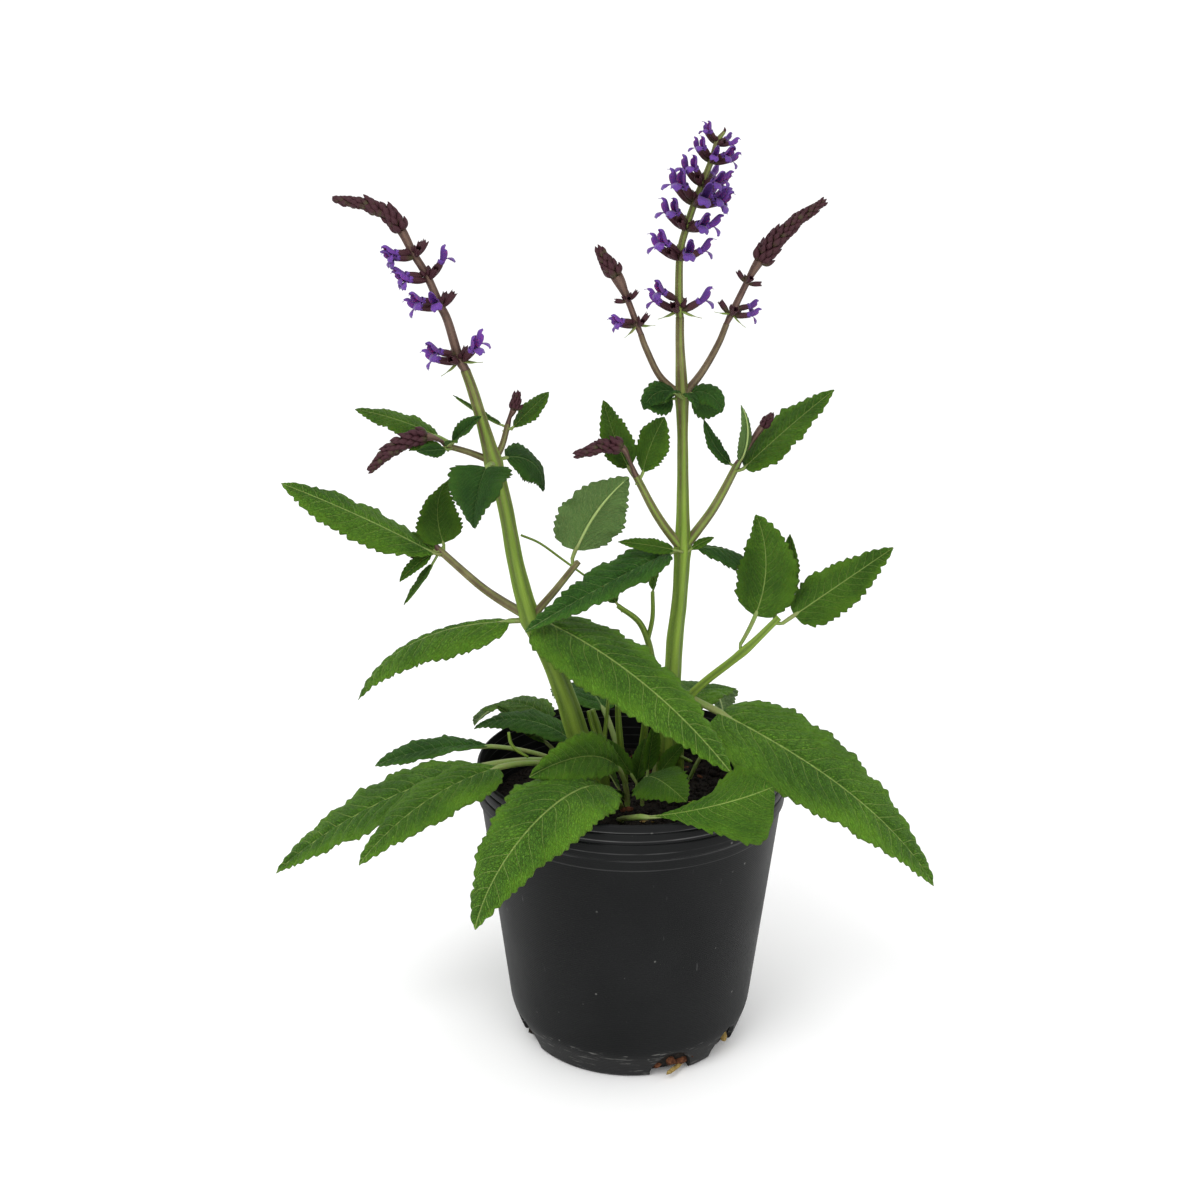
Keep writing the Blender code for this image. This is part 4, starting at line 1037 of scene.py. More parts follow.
LEAVES = (
    # the two nodes of the left stem
    Leaf("left_low_front", "left_low", -35, -10, 35, 1, 5, 2.0, 2, 130, 50, 0.25, -5, -25, 0, -20, "mid"),
    Leaf("left_low_back", "left_low", 170, -5, 60, 1.5, 0, 1.9, 6, 105, 38, 0.3, 5, 10, -15, -30, "mid"),
    Leaf("left_high_front", "left_high", -100, 45, 140, 0.6, -20, 1.3,
         12, 34, 36, 0.3, 0, -30, 20, -20, "dark"),
    Leaf("left_high_back", "left_high", 30, 10, 110, 1.2, 0, 1.2,
         3, 34, 24, 0.4, -40, -10, -10, -10, "dark"),
    # the side shoots of the left stem
    Leaf("left_low_left_long", "left_low_left", 180, 30, 15, 1, -20, 1.2,
         2, 90, 30, 0.4, 15, 20, -15, -10, "mid"),
    Leaf("left_low_left_small", "left_low_left", 135, 60, -80, 1.2, 5, 1,
         2, 38, 25, 0.25, 25, -20, 5, 0, "mid"),
    Leaf("left_low_left_low", "left_low_left", 208, -56, -10, 1, 0, 0.9,
         6, 26, 9, 0.35, 0, 0, 10, 0, "young"),
    Leaf("left_low_right_big", "left_low_right", -25, 70, 30, 1.2, 10, 1.3,
         6, 50, 38, 0.35, 45, 10, 0, 0, "pale"),
    Leaf("left_high_left_long", "left_high_left", 170, 27, 22, 1, -10, 1,
         8, 46, 18, 0.4, 20, 0, -10, 0, "mid"),
    Leaf("left_high_left_right", "left_high_left", -45, 45, 10, 1, 25, 0.9,
         1, 24, 10, 0.45, -60, -10, 25, 0, "dark"),
    Leaf("left_high_left_low", "left_high_left", 225, 5, 0, 1, 0, 0.8, 3, 18, 9, 0.45, 40, 5, 0, 0, "dark"),
    Leaf("left_high_right_big", "left_high_right", 10, 45, 5, 1, 5, 0.9,
         1, 25, 14, 0.45, -25, -5, -5, 0, "mid"),
    Leaf("left_high_right_thin", "left_high_right", 155, 20, -10, 1, 0, 0.8,
         2, 30, 6, 0.35, 0, 0, 10, 0, "mid"),
    # the two nodes of the right stem
    Leaf("right_low_left", "right_low", 200, -15, 15, 0.5, -10, 1.8,
         3, 85, 30, 0.25, 10, 20, 15, -20, "dark"),
    Leaf("right_low_right", "right_low", 35, 0, 50, 1, 0, 1.6, 5, 58, 26, 0.4, -10, 0, -20, -20, "dark"),
    Leaf("right_high_left", "right_high", 205, -4, -10, 1, 0, 0.9,
         2, 18, 16, 0.35, 35, 0, -20, -20, "dark"),
    Leaf("right_high_right", "right_high", 20, -28, -25, 1, 5, 0.9,
         2, 19, 17, 0.35, -40, 0, -20, -20, "dark"),
    # the side shoots of the right stem
    Leaf("right_low_left_right", "right_low_left", -10, 80, 20, 1, 5, 1.1,
         2, 30, 20, 0.45, -55, -10, -10, 0, "mid"),
    Leaf("right_low_left_left", "right_low_left", 160, 50, -25, 0.5, 5, 1.1,
         6, 36, 19, 0.35, 40, -5, 5, 0, "mid"),
    Leaf("right_low_right_big", "right_low_right", 0, 45, 8, 1.2, 10, 1.3,
         2, 60, 28, 0.3, -25, -5, 0, 0, "mid"),
    Leaf("right_low_right_thin", "right_low_right", 190, 40, -35, 1, 0, 0.9,
         1, 28, 10, 0.4, 45, 10, 0, 0, "dark"),
    Leaf("right_low_right_small", "right_low_right", -30, 60, -60, 1.2, 0, 0.9,
         4, 30, 9, 0.35, 20, 0, 10, 0, "mid"),
    # the low shoot
    Leaf("low_fork_leaf", "low_fork", 0, 60, -55, 1.2, 10, 1.3, 18, 56, 36, 0.3, -75, 20, -20, -10, "mid"),
    Leaf("low_end_right", "low_end", 5, 35, 0, 1, 0, 1.3, 8, 62, 28, 0.3, -50, -5, -15, 0, "mid"),
    Leaf("low_end_back", "low_end", 45, 45, -60, 1, 15, 1, 6, 40, 15, 0.35, 0, 0, 10, 0, "mid"),
    # the rosette, from the right round by the back to the front
    Leaf("rosette_right", "low_base", -40, -10, 50, 1.2, 45, 2.4,
         16, 150, 60, 0.25, -10, -20, 5, -15, "mid"),
    Leaf("rosette_right_small", (34, 32), 15, 70, 55, 1, 0, 1.4, 36, 24, 13, 0.35, 0, 0, 10, 0, "mid"),
    Leaf("rosette_back_left", (-16, 24), 165, 72, 105, 1, 5, 1.6, 30, 60, 24, 0.35, 10, 0, 5, -20, "dark"),
    Leaf("rosette_back", (-4, 36), 110, 62, 125, 1, 0, 1.8, 42, 88, 36, 0.35, 0, 0, 5, -15, "dark"),
    Leaf("rosette_back_right", (14, 36), 60, 60, 125, 1, 10, 2, 42, 96, 38, 0.35, 0, 0, 5, -15, "mid"),
    Leaf("rosette_left_back", (-20, 30), 140, 62, 118, 1, -5, 1.8, 44, 74, 30, 0.35, 0, 0, 5, -15, "mid"),
    Leaf("rosette_back_thin", (-25, 22), 150, 45, 28, 1, 0, 1.2, 33, 37, 9, 0.35, 30, 0, 5, 0, "mid"),
    Leaf("rosette_left_high", "left_base", 195, 45, 75, 0.7, -35, 1.6,
         52, 68, 20, 0.45, -5, 40, 15, -20, "dark"),
    Leaf("rosette_left_big", "left_base", 210, 65, 110, 0.4, -40, 2.4,
         65, 125, 44, 0.3, 0, 25, 5, -15, "mid"),
    Leaf("rosette_left_under", "left_foot", 225, 70, 120, 0.7, -25, 2,
         75, 88, 40, 0.3, 0, 10, 5, -25, "mid"),
    Leaf("rosette_front_left", (-6, -10), -105, 50, 125, 1.2, -40, 2.2,
         30, 130, 48, 0.4, 10, 0, 5, -20, "mid"),
    Leaf("rosette_front_over", (-2, -6), -110, 90, 110, 0.8, -40, 1.8,
         28, 68, 25, 0.5, 65, 10, 25, -20, "mid"),
    Leaf("rosette_front", (6, -6), -95, 90, 110, 0.7, 45, 1.3, 28, 45, 30, 0.4, -25, 10, -5, -10, "young"),
    Leaf("rosette_front_right", (-6, -26), -100, 30, 15, 1, 120, 1.8,
         48, 74, 50, 0.8, -40, -10, -35, -5, "young"),
)

# Small young leaves, which start at a point (x, y, z). Those of the crown stand for the plain
# model's crown, and the others have no plain solid.
YOUNG_LEAVES = (
    Leaf("young_crown_1", (6, 1, 136), 170, 62, 10, 1, 0, 1.0, 12, 24, 9, 0.4, 50, 0, 20, -10, "young"),
    Leaf("young_crown_2", (8, 2, 136), 60, 80, 10, 1, 0, 1.0, 12, 27, 11, 0.4, -60, 0, 20, -10, "young"),
    Leaf("young_crown_7", (9, 2, 136), 5, 62, 15, 1, 0, 1.0, 13, 22, 10, 0.4, -50, 0, 20, -10, "young"),
    Leaf("young_crown_8", (7, 0, 136), -80, 60, 30, 1, 0, 0.9, 8, 18, 10, 0.4, 0, 0, 20, -10, "young"),
    Leaf("young_crown_3", (-5, 4, 134), 170, 68, 25, 1, 0, 0.9, 3, 28, 9, 0.4, -10, 0, 25, -10, "young"),
    Leaf("young_crown_4", (3, 8, 134), 70, 72, 30, 1, 0, 0.9, 4, 26, 10, 0.4, 0, 0, 20, -10, "young"),
    Leaf("young_crown_5", (8, 5, 134), -10, 60, 40, 1, 0, 0.9, 4, 20, 9, 0.4, 0, 0, 20, -10, "young"),
    Leaf("young_crown_6", (-3, -3, 133), -130, 55, 30, 1, 0, 0.8, 3, 17, 8, 0.4, 0, 0, 20, -10, "young"),
    Leaf("young_high_1", (22, 0, 353), 200, 40, 120, 1, 0, 0.9, 2, 21, 14, 0.35, 30, 40, 25, -70, "dark"),
    Leaf("young_high_2", (27, 0, 353), -20, 35, 120, 1, 0, 0.9, 2, 21, 14, 0.35, -30, -40, 25, -70, "dark"),
    Leaf("young_high_3", (25, -1, 353), -60, 30, 110, 1, 0, 0.8, 2, 13, 9, 0.4, 0, 30, 20, -50, "dark"),
    Leaf("young_high_4", (23, -1, 353), 230, 45, 110, 1, 0, 0.8, 2, 14, 9, 0.4, 0, -30, 20, -50, "dark"),
    Leaf("young_low_1", (23, 2, 272), 185, 15, 10, 1, 0, 0.9, 2, 29, 9, 0.35, 45, 0, 0, -10, "young"),
    Leaf("young_low_2", (30, 4, 272), -10, 40, 20, 1, 0, 0.8, 1, 13, 6, 0.4, -40, 0, 0, -10, "young"),
    Leaf("young_tip_1", (-103, 20, 266), 200, -20, 30, 1, 0, 0.7, 3, 22, 8, 0.4, 40, 0, 10, 0, "young"),
    Leaf("young_tip_2", (-103, 20, 266), 150, 35, 30, 1, 0, 0.7, 2, 20, 8, 0.4, 40, 0, 10, 0, "young"),
    Leaf("young_tip_3", (-94, -4, 327), 200, 20, 40, 1, 0, 0.7, 2, 17, 6, 0.4, 50, 0, 10, 0, "young"),
    Leaf("young_tip_4", (-94, -4, 327), -60, 45, 50, 1, 0, 0.7, 2, 14, 6, 0.4, 0, 0, 10, 0, "young"),
    Leaf("young_back_1", (12, 40, 237), 60, 78, 10, 1, 0, 0.8, 2, 18, 8, 0.4, 20, 0, 15, 0, "young"),
    Leaf("young_back_2", (-6, 40, 229), 165, 55, 5, 1, 0, 0.9, 3, 19, 9, 0.4, 60, 0, 15, 0, "young"),
)
print("leaves:", len(LEAVES), "and", len(YOUNG_LEAVES), "young ones")

# %% The midrib's arc
END_SETBACK = 1.5         # how far below a shoot's end its leaves leave it
FULLNESS = 0.75           # a smaller one fills out the blade's two ends
ROOT_DEPTH = 3.2          # how far a stalk runs on inside its seat
ARC_STEPS = 256


def directions(leaf, stations):
    """The midrib's direction, and the side and normal of an untilted blade, at each station."""
    rise = np.radians(leaf.rise - leaf.droop * stations ** leaf.bend)
    turn = np.radians(leaf.heading + leaf.sweep * stations)
    tangent = np.stack([np.cos(rise) * np.cos(turn), np.cos(rise) * np.sin(turn), np.sin(rise)], -1)
    normal = np.stack([-np.sin(rise) * np.cos(turn), -np.sin(rise) * np.sin(turn), np.cos(rise)], -1)
    return tangent, np.cross(tangent, normal), normal


def seat_line(seat):
    """The line of the stem or shoot that a leaf grows from, its row there and its direction."""
    rows, index = NODES[seat] if seat in NODES else (ENDS[seat], len(ENDS[seat]) - 1)
    line = np.array(rows, dtype=float)
    ahead = min(index + 1, len(line) - 1)
    return line, index, direction(line[ahead, :3] - line[index - 1, :3])


def seat_of(seat, tangent, radius):
    """Where a stalk of this radius starts: just off the side of its stem or shoot, or off the mix."""
    if len(seat) == 3:
        return np.array(seat, dtype=float)
    if len(seat) == 2:
        x, y = seat
        slope = math.sqrt(max(0.0, 1.0 - tangent[2] ** 2))
        return np.array([x, y, float(soil_height(x, y)) + GAP + radius * slope])
    line, index, axis = seat_line(seat)
    place = line[index, :3] - axis * (END_SETBACK if seat in ENDS else 0.0)
    along = float(tangent @ axis)
    outward = direction(tangent - axis * along)
    return place + outward * (line[index, 3] + GAP + radius * abs(along))


def root_lean(seat, start):
    """How far a stalk's root bends in, so that it ends in the middle of its stem or shoot."""
    if not isinstance(seat, str):
        return np.zeros(3)
    line, index, axis = seat_line(seat)
    inward = line[index, :3] - start
    return inward - axis * float(inward @ axis)


def midrib(leaf, distances):
    """Centre, tangent, side and normal at distances along stalk and blade, and share of blade."""
    length = leaf.petiole + leaf.blade
    fine = np.linspace(0.0, 1.0, ARC_STEPS + 1)
    tangent, _, _ = directions(leaf, fine)
    steps = 0.5 * (tangent[1:] + tangent[:-1]) * length / (len(fine) - 1)
    line = np.vstack([np.zeros(3), np.cumsum(steps, axis=0)])
    line = line + seat_of(leaf.seat, tangent[0], leaf.stalk)
    stations = np.clip(distances / length, 0.0, 1.0)
    centre = np.stack([np.interp(stations, fine, line[:, axis]) for axis in range(3)], 1)
    inside = np.clip(-distances / ROOT_DEPTH, 0.0, 1.0)[:, None]
    centre = centre + tangent[0] * np.minimum(distances, 0.0)[:, None]
    centre = centre + root_lean(leaf.seat, line[0]) * inside
    tangent, side, normal = directions(leaf, stations)
    start = leaf.petiole / length
    share = np.clip((stations - start) / (1.0 - start), 0.0, 1.0)
    angle = np.radians(leaf.roll * np.clip(stations / start, 0.0, 1.0) + leaf.twist * share)[:, None]
    rolled_side = side * np.cos(angle) + normal * np.sin(angle)
    rolled_normal = normal * np.cos(angle) - side * np.sin(angle)
    return centre, tangent, rolled_side, rolled_normal, share


def half_width(leaf, share):
    """Half of the blade's width along it, with the most at the leaf's peak."""
    power = math.log(0.5) / math.log(leaf.peak)
    swell = np.clip(np.sin(np.pi * np.clip(share, 0.0, 1.0) ** power), 0.0, 1.0)
    return 0.5 * leaf.width * swell ** FULLNESS


# %% [markdown]
# ## From midrib to blade
#
# Rows of points lie 0.4 to 0.9 mm apart along the midrib, close enough for every tooth of the
# margin to have its own round front and sharp notch. Across each row the two halves bend away
# from the midrib. The blade then rises in a cushion between each two side veins, small domes stand
# on the cushions, and the margin waves gently. Top and underside are two faces of one closed body,
# and the stalk is a tube that thins out along the underside as the midrib.

# %% Blade and stalk
BLADE_THICK = 0.45
ROWS_PER_TOOTH = 6
COLUMN_WIDTH = 1.0
COLUMNS_EACH_HALF = (5, 26)
TOOTH_LENGTHS = (2.5, 5.2)
TEETH_ALONG = 14.0        # teeth along each margin, as far as their length allows
VEIN_SPACES = (2.4, 9.5)
VEINS_ALONG = 12.0
LARGE_SPACE = 7.5         # relief is at its full height where side veins are this far apart
LARGE_WIDTH = 28.0
LEAST_HALF = 0.35
TOOTH_CUT = 2.2           # how deep a notch is cut on a large leaf
TOOTH_OUT = 0.80          # how far a tooth stands beyond the smooth outline
TOOTH_CREST = 0.66        # where along a tooth its point is: beyond the middle, it leans forward
CUSHION = 1.0             # height between two side veins of a large blade
DOME = 0.50
CHANNEL = 0.55            # how deep the midrib lies on the upper face
RIM_WAVE = 1.3
FACE, UNDER, STALK = range(3)
STALK_COLUMNS = 12
STALK_SCALE = 0.92
STALK_FLAT = 0.86         # a stalk is a little less high than wide
RIB_END = 0.93            # the share of the blade that the raised midrib reaches


def tooth_shape(phase):
    """0 in the notch, 1 on the round of a tooth that leans towards the tip."""
    past = np.maximum(phase - TOOTH_CREST, 0.0) / (1.0 - TOOTH_CREST)
    return np.where(phase < TOOTH_CREST, phase / TOOTH_CREST, 1.0 - past ** 1.5) ** 0.72


def clamp(value, least, most):
    return min(most, max(least, value))


def outlines(leaf, seed, along, tooth, smooth_half):
    """The half width on the left and on the right of the midrib, with teeth."""
    notch = TOOTH_CUT * clamp(leaf.width / LARGE_WIDTH, 0.55, 1.0)
    uneven = 0.35 * np.sin(along * 0.23 + seed) + 0.25 * np.sin(along * 0.61 + 2 * seed)
    widths = []
    for hand in (-1.0, 1.0):
        phase = (along / tooth + 0.37 * hand + uneven * 0.4 * hand) % 1.0
        depth = notch * (0.85 + 0.30 * np.sin(along * 0.4 + seed * 3 + hand))
        depth = depth * np.clip(smooth_half / 6.0, 0.15, 1.0)
        ragged = smooth_half * 0.03 * np.sin(along * 0.17 + seed * hand)
        out = TOOTH_OUT * depth / TOOTH_CUT
        widths.append(smooth_half + ragged + out - depth * (1.0 - tooth_shape(phase)))
    return widths


def fold_shares(leaf, size):
    """How far out and up each column lies for a half width of 1, when the halves fold and curl."""
    columns = len(size) // 2
    between = np.radians(leaf.fold + leaf.curl * (size[:-1] + size[1:]) / 2)
    out_step = np.concatenate([[0.0], np.cumsum(np.cos(between[columns:]))]) / columns
    up_step = np.concatenate([[0.0], np.cumsum(np.sin(between[columns:]))]) / columns
    return (np.concatenate([-out_step[:0:-1], out_step]),
            np.concatenate([up_step[:0:-1], up_step]))


def blade_relief(seed, along, across, across_share, share, smooth_half, veins, scale):
    """Height over the folded blade: cushions, domes, the channel of the midrib and a wavy rim."""
    size, hand = np.abs(across_share), np.sign(across_share)
    beat = vein_beat(veins[0], np.abs(veins[1]), np.sin)
    shifted = beat + 0.5 * (across > 0.0)
    distance = np.abs(across)
    inside = np.clip(distance / (2.2 * scale), 0.0, 1.0) ** 1.5
    fading = 1.0 - 0.75 * size[None, :] ** 4
    cushion = np.abs(np.cos(math.pi * shifted)) ** 0.65 * inside * fading
    small = 1.0 - domes(beat * NET_ALONG, veins[1] * NET_ACROSS, seed)
    relief = scale * (CUSHION * cushion + DOME * small * inside * fading)
    relief = relief - CHANNEL * scale * np.exp(-(distance / (1.3 * scale)) ** 2)
    ripple = np.sin(along[:, None] * 0.30 / scale ** 0.5 + 1.9 * hand[None, :] + seed * 2.0)
    ripple = ripple + 0.5 * np.sin(along[:, None] * 0.71 + 3.1 * hand[None, :] + seed)
    swell = np.clip(smooth_half / 12.0, 0.1, 1.3)[:, None] * np.sin(math.pi * share)[:, None] ** 0.5
    relief = relief + RIM_WAVE * ripple * size[None, :] ** 2.5 * swell * 0.6
    return relief * np.clip(share * 14.0, 0.0, 1.0)[:, None]


def make_blade(skin, leaf, seed):
    tooth = clamp(leaf.blade / TEETH_ALONG, *TOOTH_LENGTHS)
    spacing = clamp(leaf.blade / VEINS_ALONG, *VEIN_SPACES)
    scale = min(1.0, spacing / LARGE_SPACE)
    along = np.linspace(0.0, leaf.blade, int(leaf.blade / (tooth / ROWS_PER_TOOTH)) + 1)
    columns = int(clamp(leaf.width / 2 / COLUMN_WIDTH, *COLUMNS_EACH_HALF))
    centre, _, side, normal, share = midrib(leaf, leaf.petiole + along)
    smooth_half = np.maximum(half_width(leaf, share), LEAST_HALF)
    across_share = np.linspace(-1.0, 1.0, 2 * columns + 1)
    size, hand = np.abs(across_share), np.sign(across_share)
    left, right = outlines(leaf, seed, along, tooth, smooth_half)
    half = np.where(hand[None, :] < 0, left[:, None], right[:, None])
    across = half * across_share[None, :]
    veins = along[:, None] / spacing + 7.0 * seed, across / spacing
    relief = blade_relief(seed, along, across, across_share, share, smooth_half, veins, scale)
    out_share, up_share = fold_shares(leaf, size)
    angle = np.radians(leaf.fold + leaf.curl * size)
    own_normal = (normal[:, None] * np.cos(angle)[None, :, None]
                  - side[:, None] * (hand * np.sin(angle))[None, :, None])
    middle = (centre[:, None] + side[:, None] * (half * out_share[None, :])[..., None]
              + normal[:, None] * (half * up_share[None, :])[..., None]
              + own_normal * relief[..., None])
    thick = BLADE_THICK * (1.0 - 0.35 * size ** 3)[None, :, None] * max(0.6, scale)
    ring = np.concatenate([middle + own_normal * thick / 2,
                           (middle - own_normal * thick / 2)[:, ::-1]], axis=1)
    values = {"veins": both_faces(pair(*veins, across.shape)),
              "share": both_faces(pair(share[:, None], across_share[None, :], across.shape))}
    count = len(across_share)
    slots = np.array([FACE] * count + [UNDER] * (count - 1) + [FACE])
    skin.grid(ring, values, slots[None, :], ring=True)


def make_stalk(skin, leaf):
    """Stalk and midrib in one tube, from inside its seat to just short of the blade's tip."""
    rows = max(16, int((leaf.petiole + leaf.blade) / 2.0))
    run = np.linspace(-ROOT_DEPTH, leaf.petiole + leaf.blade * RIB_END, rows)
    centre, _, side, normal, share = midrib(leaf, run)
    stalk = leaf.stalk * STALK_SCALE
    radius = stalk * (1.0 - share) ** 0.9 * 0.86 + 0.14
    radius = np.where(share > 0.0, np.minimum(radius, leaf.stalk * 0.55), stalk)
    ease = np.clip(share * 12.0, 0.0, 1.0)
    radius = stalk * (1.0 - ease) + radius * ease
    drop = (radius * STALK_FLAT + 0.35) * ease
    furrow = 1.0 - 0.22 * np.exp(-((circle(STALK_COLUMNS) - math.pi / 2) / 0.45) ** 2)
    points = tube_points(centre - normal * drop[:, None], side, normal,
                         radius[:, None] * furrow[None, :], STALK_FLAT)
    shape = (rows, STALK_COLUMNS + 1)
    turn = np.arange(shape[1]) / STALK_COLUMNS
    skin.grid(points, {"veins": pair(run[:, None], turn, shape),
                       "share": pair(share[:, None], turn, shape)}, STALK, ring=True)


def stalk_finish(name, green, cream, blush):
    """A stalk: green and a little pink at its foot, turning cream along the blade."""
    made, start, where = new_finish(name)
    share, _ = layer(start, "share")
    patch = soft_step(noise(where, 160.0, 2.0), 0.35, 0.7)
    streak = soft_step(noise(where, 400.0, 3.0), 0.3, 0.75)
    fluff = soft_step(noise(where, 2600.0, 1.0), 0.58, 0.78)
    pink = patch * 0.3 * (1.0 - soft_step(share, 0.0, 0.3))
    colour = paint(green, (soft_step(share, 0.0, 0.12), cream), (pink, blush),
                   (streak * 0.25, shade(green, 1.5)), (fluff * 0.2, (0.5, 0.52, 0.4)))
    return set_finish(made, colour, 0.55, fluff, 0.08, Subsurface_Weight=0.05,
                      Subsurface_Scale=0.0008, Specular_IOR_Level=0.35)


stalk_skin = stalk_finish("stalk_skin", (0.140, 0.215, 0.040), (0.280, 0.375, 0.120),
                          (0.230, 0.130, 0.090))


def make_leaf(leaf, number, replaced=()):
    skin = Skin("veins", "share")
    make_blade(skin, leaf, (number * 0.618) % 1.0 * 6.0 + 0.3)
    make_stalk(skin, leaf)
    piece = skin.piece(f"veined_{leaf.name}", leaf_faces[leaf.tone], leaf_under, stalk_skin)
    return show(piece, f"leaf_{leaf.tone}", *replaced)


for number, leaf in enumerate(LEAVES):
    make_leaf(leaf, number, (leaf.name,))
for number, leaf in enumerate(YOUNG_LEAVES, len(LEAVES)):
    make_leaf(leaf, number, ("crown",) if "crown" in leaf.name else ())
print("leaf triangles:", sum(count for name, count in triangle_counts.items() if "veined" in name))

# %% [markdown]
# ## Flower spikes and buds
#
# A salvia's florets stand in whorls. Each has a ribbed calyx with pointed teeth, and from it comes
# a corolla with a hooded upper lip and a broad, notched lower one. At the tip of the spike the
# buds still to open stand close together in a head. Each spike below is one piece: its axis, its
# florets and its head, all standing on the same line.

# %% Spike table
Spike = namedtuple("Spike", "name stem rows whorls dense")

# rows: points of the axis, x, y, z and radius, from the end of the stem up; whorls: row, size,
# headings of the open florets round the axis, headings of those only in calyx; dense: the row that
# the head of closed buds starts at, and the buds' size there and at the tip.
SPIKES = (
    Spike("spike_left", STEM_LEFT,
          ((-86, -4, 372, 2.2), (-90.8, -5, 390, 2.0), (-94.5, -6, 398.5, 1.9),
           (-100, -7, 412, 1.8), (-106, -8, 422.5, 1.8), (-111, -9, 433, 2.2),
           (-117, -10, 440.5, 3.0), (-127, -11, 445, 2.6), (-141, -12, 447.5, 0.8)),
          ((0, 0.80, (185, 10, -35), (110, 65, -110)),
           (2, 0.75, (190, -90), (0, 65, 140)),
           (3, 0.75, (170, 15, 215), (-40, 90)),
           (4, 0.70, (180, 215), (15, -55, 55, 120))),
          (5, 1.1, 0.7)),
    Spike("spike_right", STEM_RIGHT,
          ((22, 2, 396, 2.0), (22, 1, 421, 1.7), (25.2, 0, 435, 1.7), (29, 0, 446.5, 1.6),
           (32.3, 0, 455, 1.5), (36.4, 0, 465.5, 1.4), (38.8, 0, 473.5, 1.3), (42, 0, 478, 0.8)),
          ((0, 0.80, (178, -5), (72, -112)),
           (1, 0.80, (181, 3, -75), (94, -131)),
           (2, 0.80, (185, -8, -60), (98, -122)),
           (3, 0.85, (182, -25, 22, -80), (101, 139)),
           (4, 0.70, (185, 30, -60), (90, -120)),
           (5, 0.60, (180, -10, -90), (60, 130)),
           (6, 0.50, (20, 170), (-60, 100))),
          (7, 0.6, 0.5)),
    Spike("spike_side_left", RIGHT_SHOOTS["high_left"],
          ((1, -4, 389, 1.5), (-3.6, -6, 401, 1.5), (-8.9, -8, 412, 2.8), (-17.7, -10, 424, 1.0)),
          ((0, 0.60, (175,), (10, -60, 90)),
           (1, 0.50, (), (180, 0, 80, -80))),
          (2, 1.1, 0.7)),
    Spike("spike_side_right", RIGHT_SHOOTS["high_right"],
          ((48.8, 8, 393, 1.7), (56.2, 10, 408, 1.6), (61.5, 11, 417, 2.4), (69.3, 12, 427, 2.8),
           (80, 14, 436.5, 2.2), (92.3, 16, 444.5, 0.8)),
          ((0, 0.65, (-5,), (175, 60, -90)),
           (1, 0.55, (), (180, 0, 90, -90))),
          (2, 1.15, 0.6)),
    Spike("bud_left_high_left", LEFT_SHOOTS["high_left"],
          ((-97, -4, 331, 1.0), (-103, -6, 333, 2.2), (-113, -8, 331, 3.6), (-123, -9, 325, 3.0),
           (-130, -10, 318, 1.2)), (), (1, 1.15, 0.7)),
    Spike("bud_left_high_right", LEFT_SHOOTS["high_right"],
          ((-62, 4, 341, 1.0), (-60, 3.5, 345, 1.6), (-58, 3, 353, 1.4)), (), (1, 0.8, 0.6)),
    Spike("bud_left_low_left", LEFT_SHOOTS["low_left"],
          ((-104.9, 24.2, 270.1, 0.9), (-108.8, 28, 268.8, 1.1), (-114, 27, 261, 1.5),
           (-118, 24, 255, 0.9)), (), (2, 0.65, 0.5)),
    Spike("bud_right_low_left", RIGHT_SHOOTS["low_left"],
          ((-2, -6, 321, 0.9), (-6, -8, 328, 1.8), (-16, -9, 328, 3.0), (-27, -10, 325, 1.2)),
          (), (1, 1.1, 0.7)),
    Spike("bud_right_low_right", RIGHT_SHOOTS["low_right"],
          ((57, 16, 319, 1.0), (62, 15, 328, 1.4), (66, 15, 334, 1.7), (71, 15, 340, 1.0)),
          (), (2, 0.7, 0.5)),
)


# %% Shapes of petals, calyces and buds
# Paths are stations of (out, up, half width, cup) for a floret of size 1; cup bends the two edges
# up or down by that share of the half width.
CALYX_PATH = ((0.0, -2.2, 0.9, 0.0), (2.4, -1.6, 1.5, 0.0), (5.4, 0.0, 2.1, 0.0), (8.8, 1.9, 2.0, 0.0))
TUBE_PATH = ((5.6, 0.2, 1.5, 0.0), (8.8, 2.0, 1.9, 0.0), (10.8, 3.4, 2.3, 0.0))
HOOD_PATH = ((9.2, 2.8, 2.0, -1.1), (11.2, 5.8, 2.2, -1.6), (12.7, 8.4, 2.3, -1.6),
             (14.4, 10.4, 1.9, -1.3), (16.9, 10.6, 1.0, -0.7))
LIP_PATH = ((9.4, 2.0, 1.6, 0.5), (12.2, 2.8, 2.0, 0.3), (14.9, 3.0, 3.1, -0.2),
            (17.2, 1.6, 3.7, -0.4), (17.5, -0.9, 2.5, -0.3))
BRACT_PATH = ((0.0, -2.0, 0.8, -0.3), (3.2, -2.8, 1.9, -0.4), (6.6, -4.2, 1.5, -0.4),
              (9.2, -5.2, 0.35, 0.0), (12.4, -5.8, 0.12, 0.0))
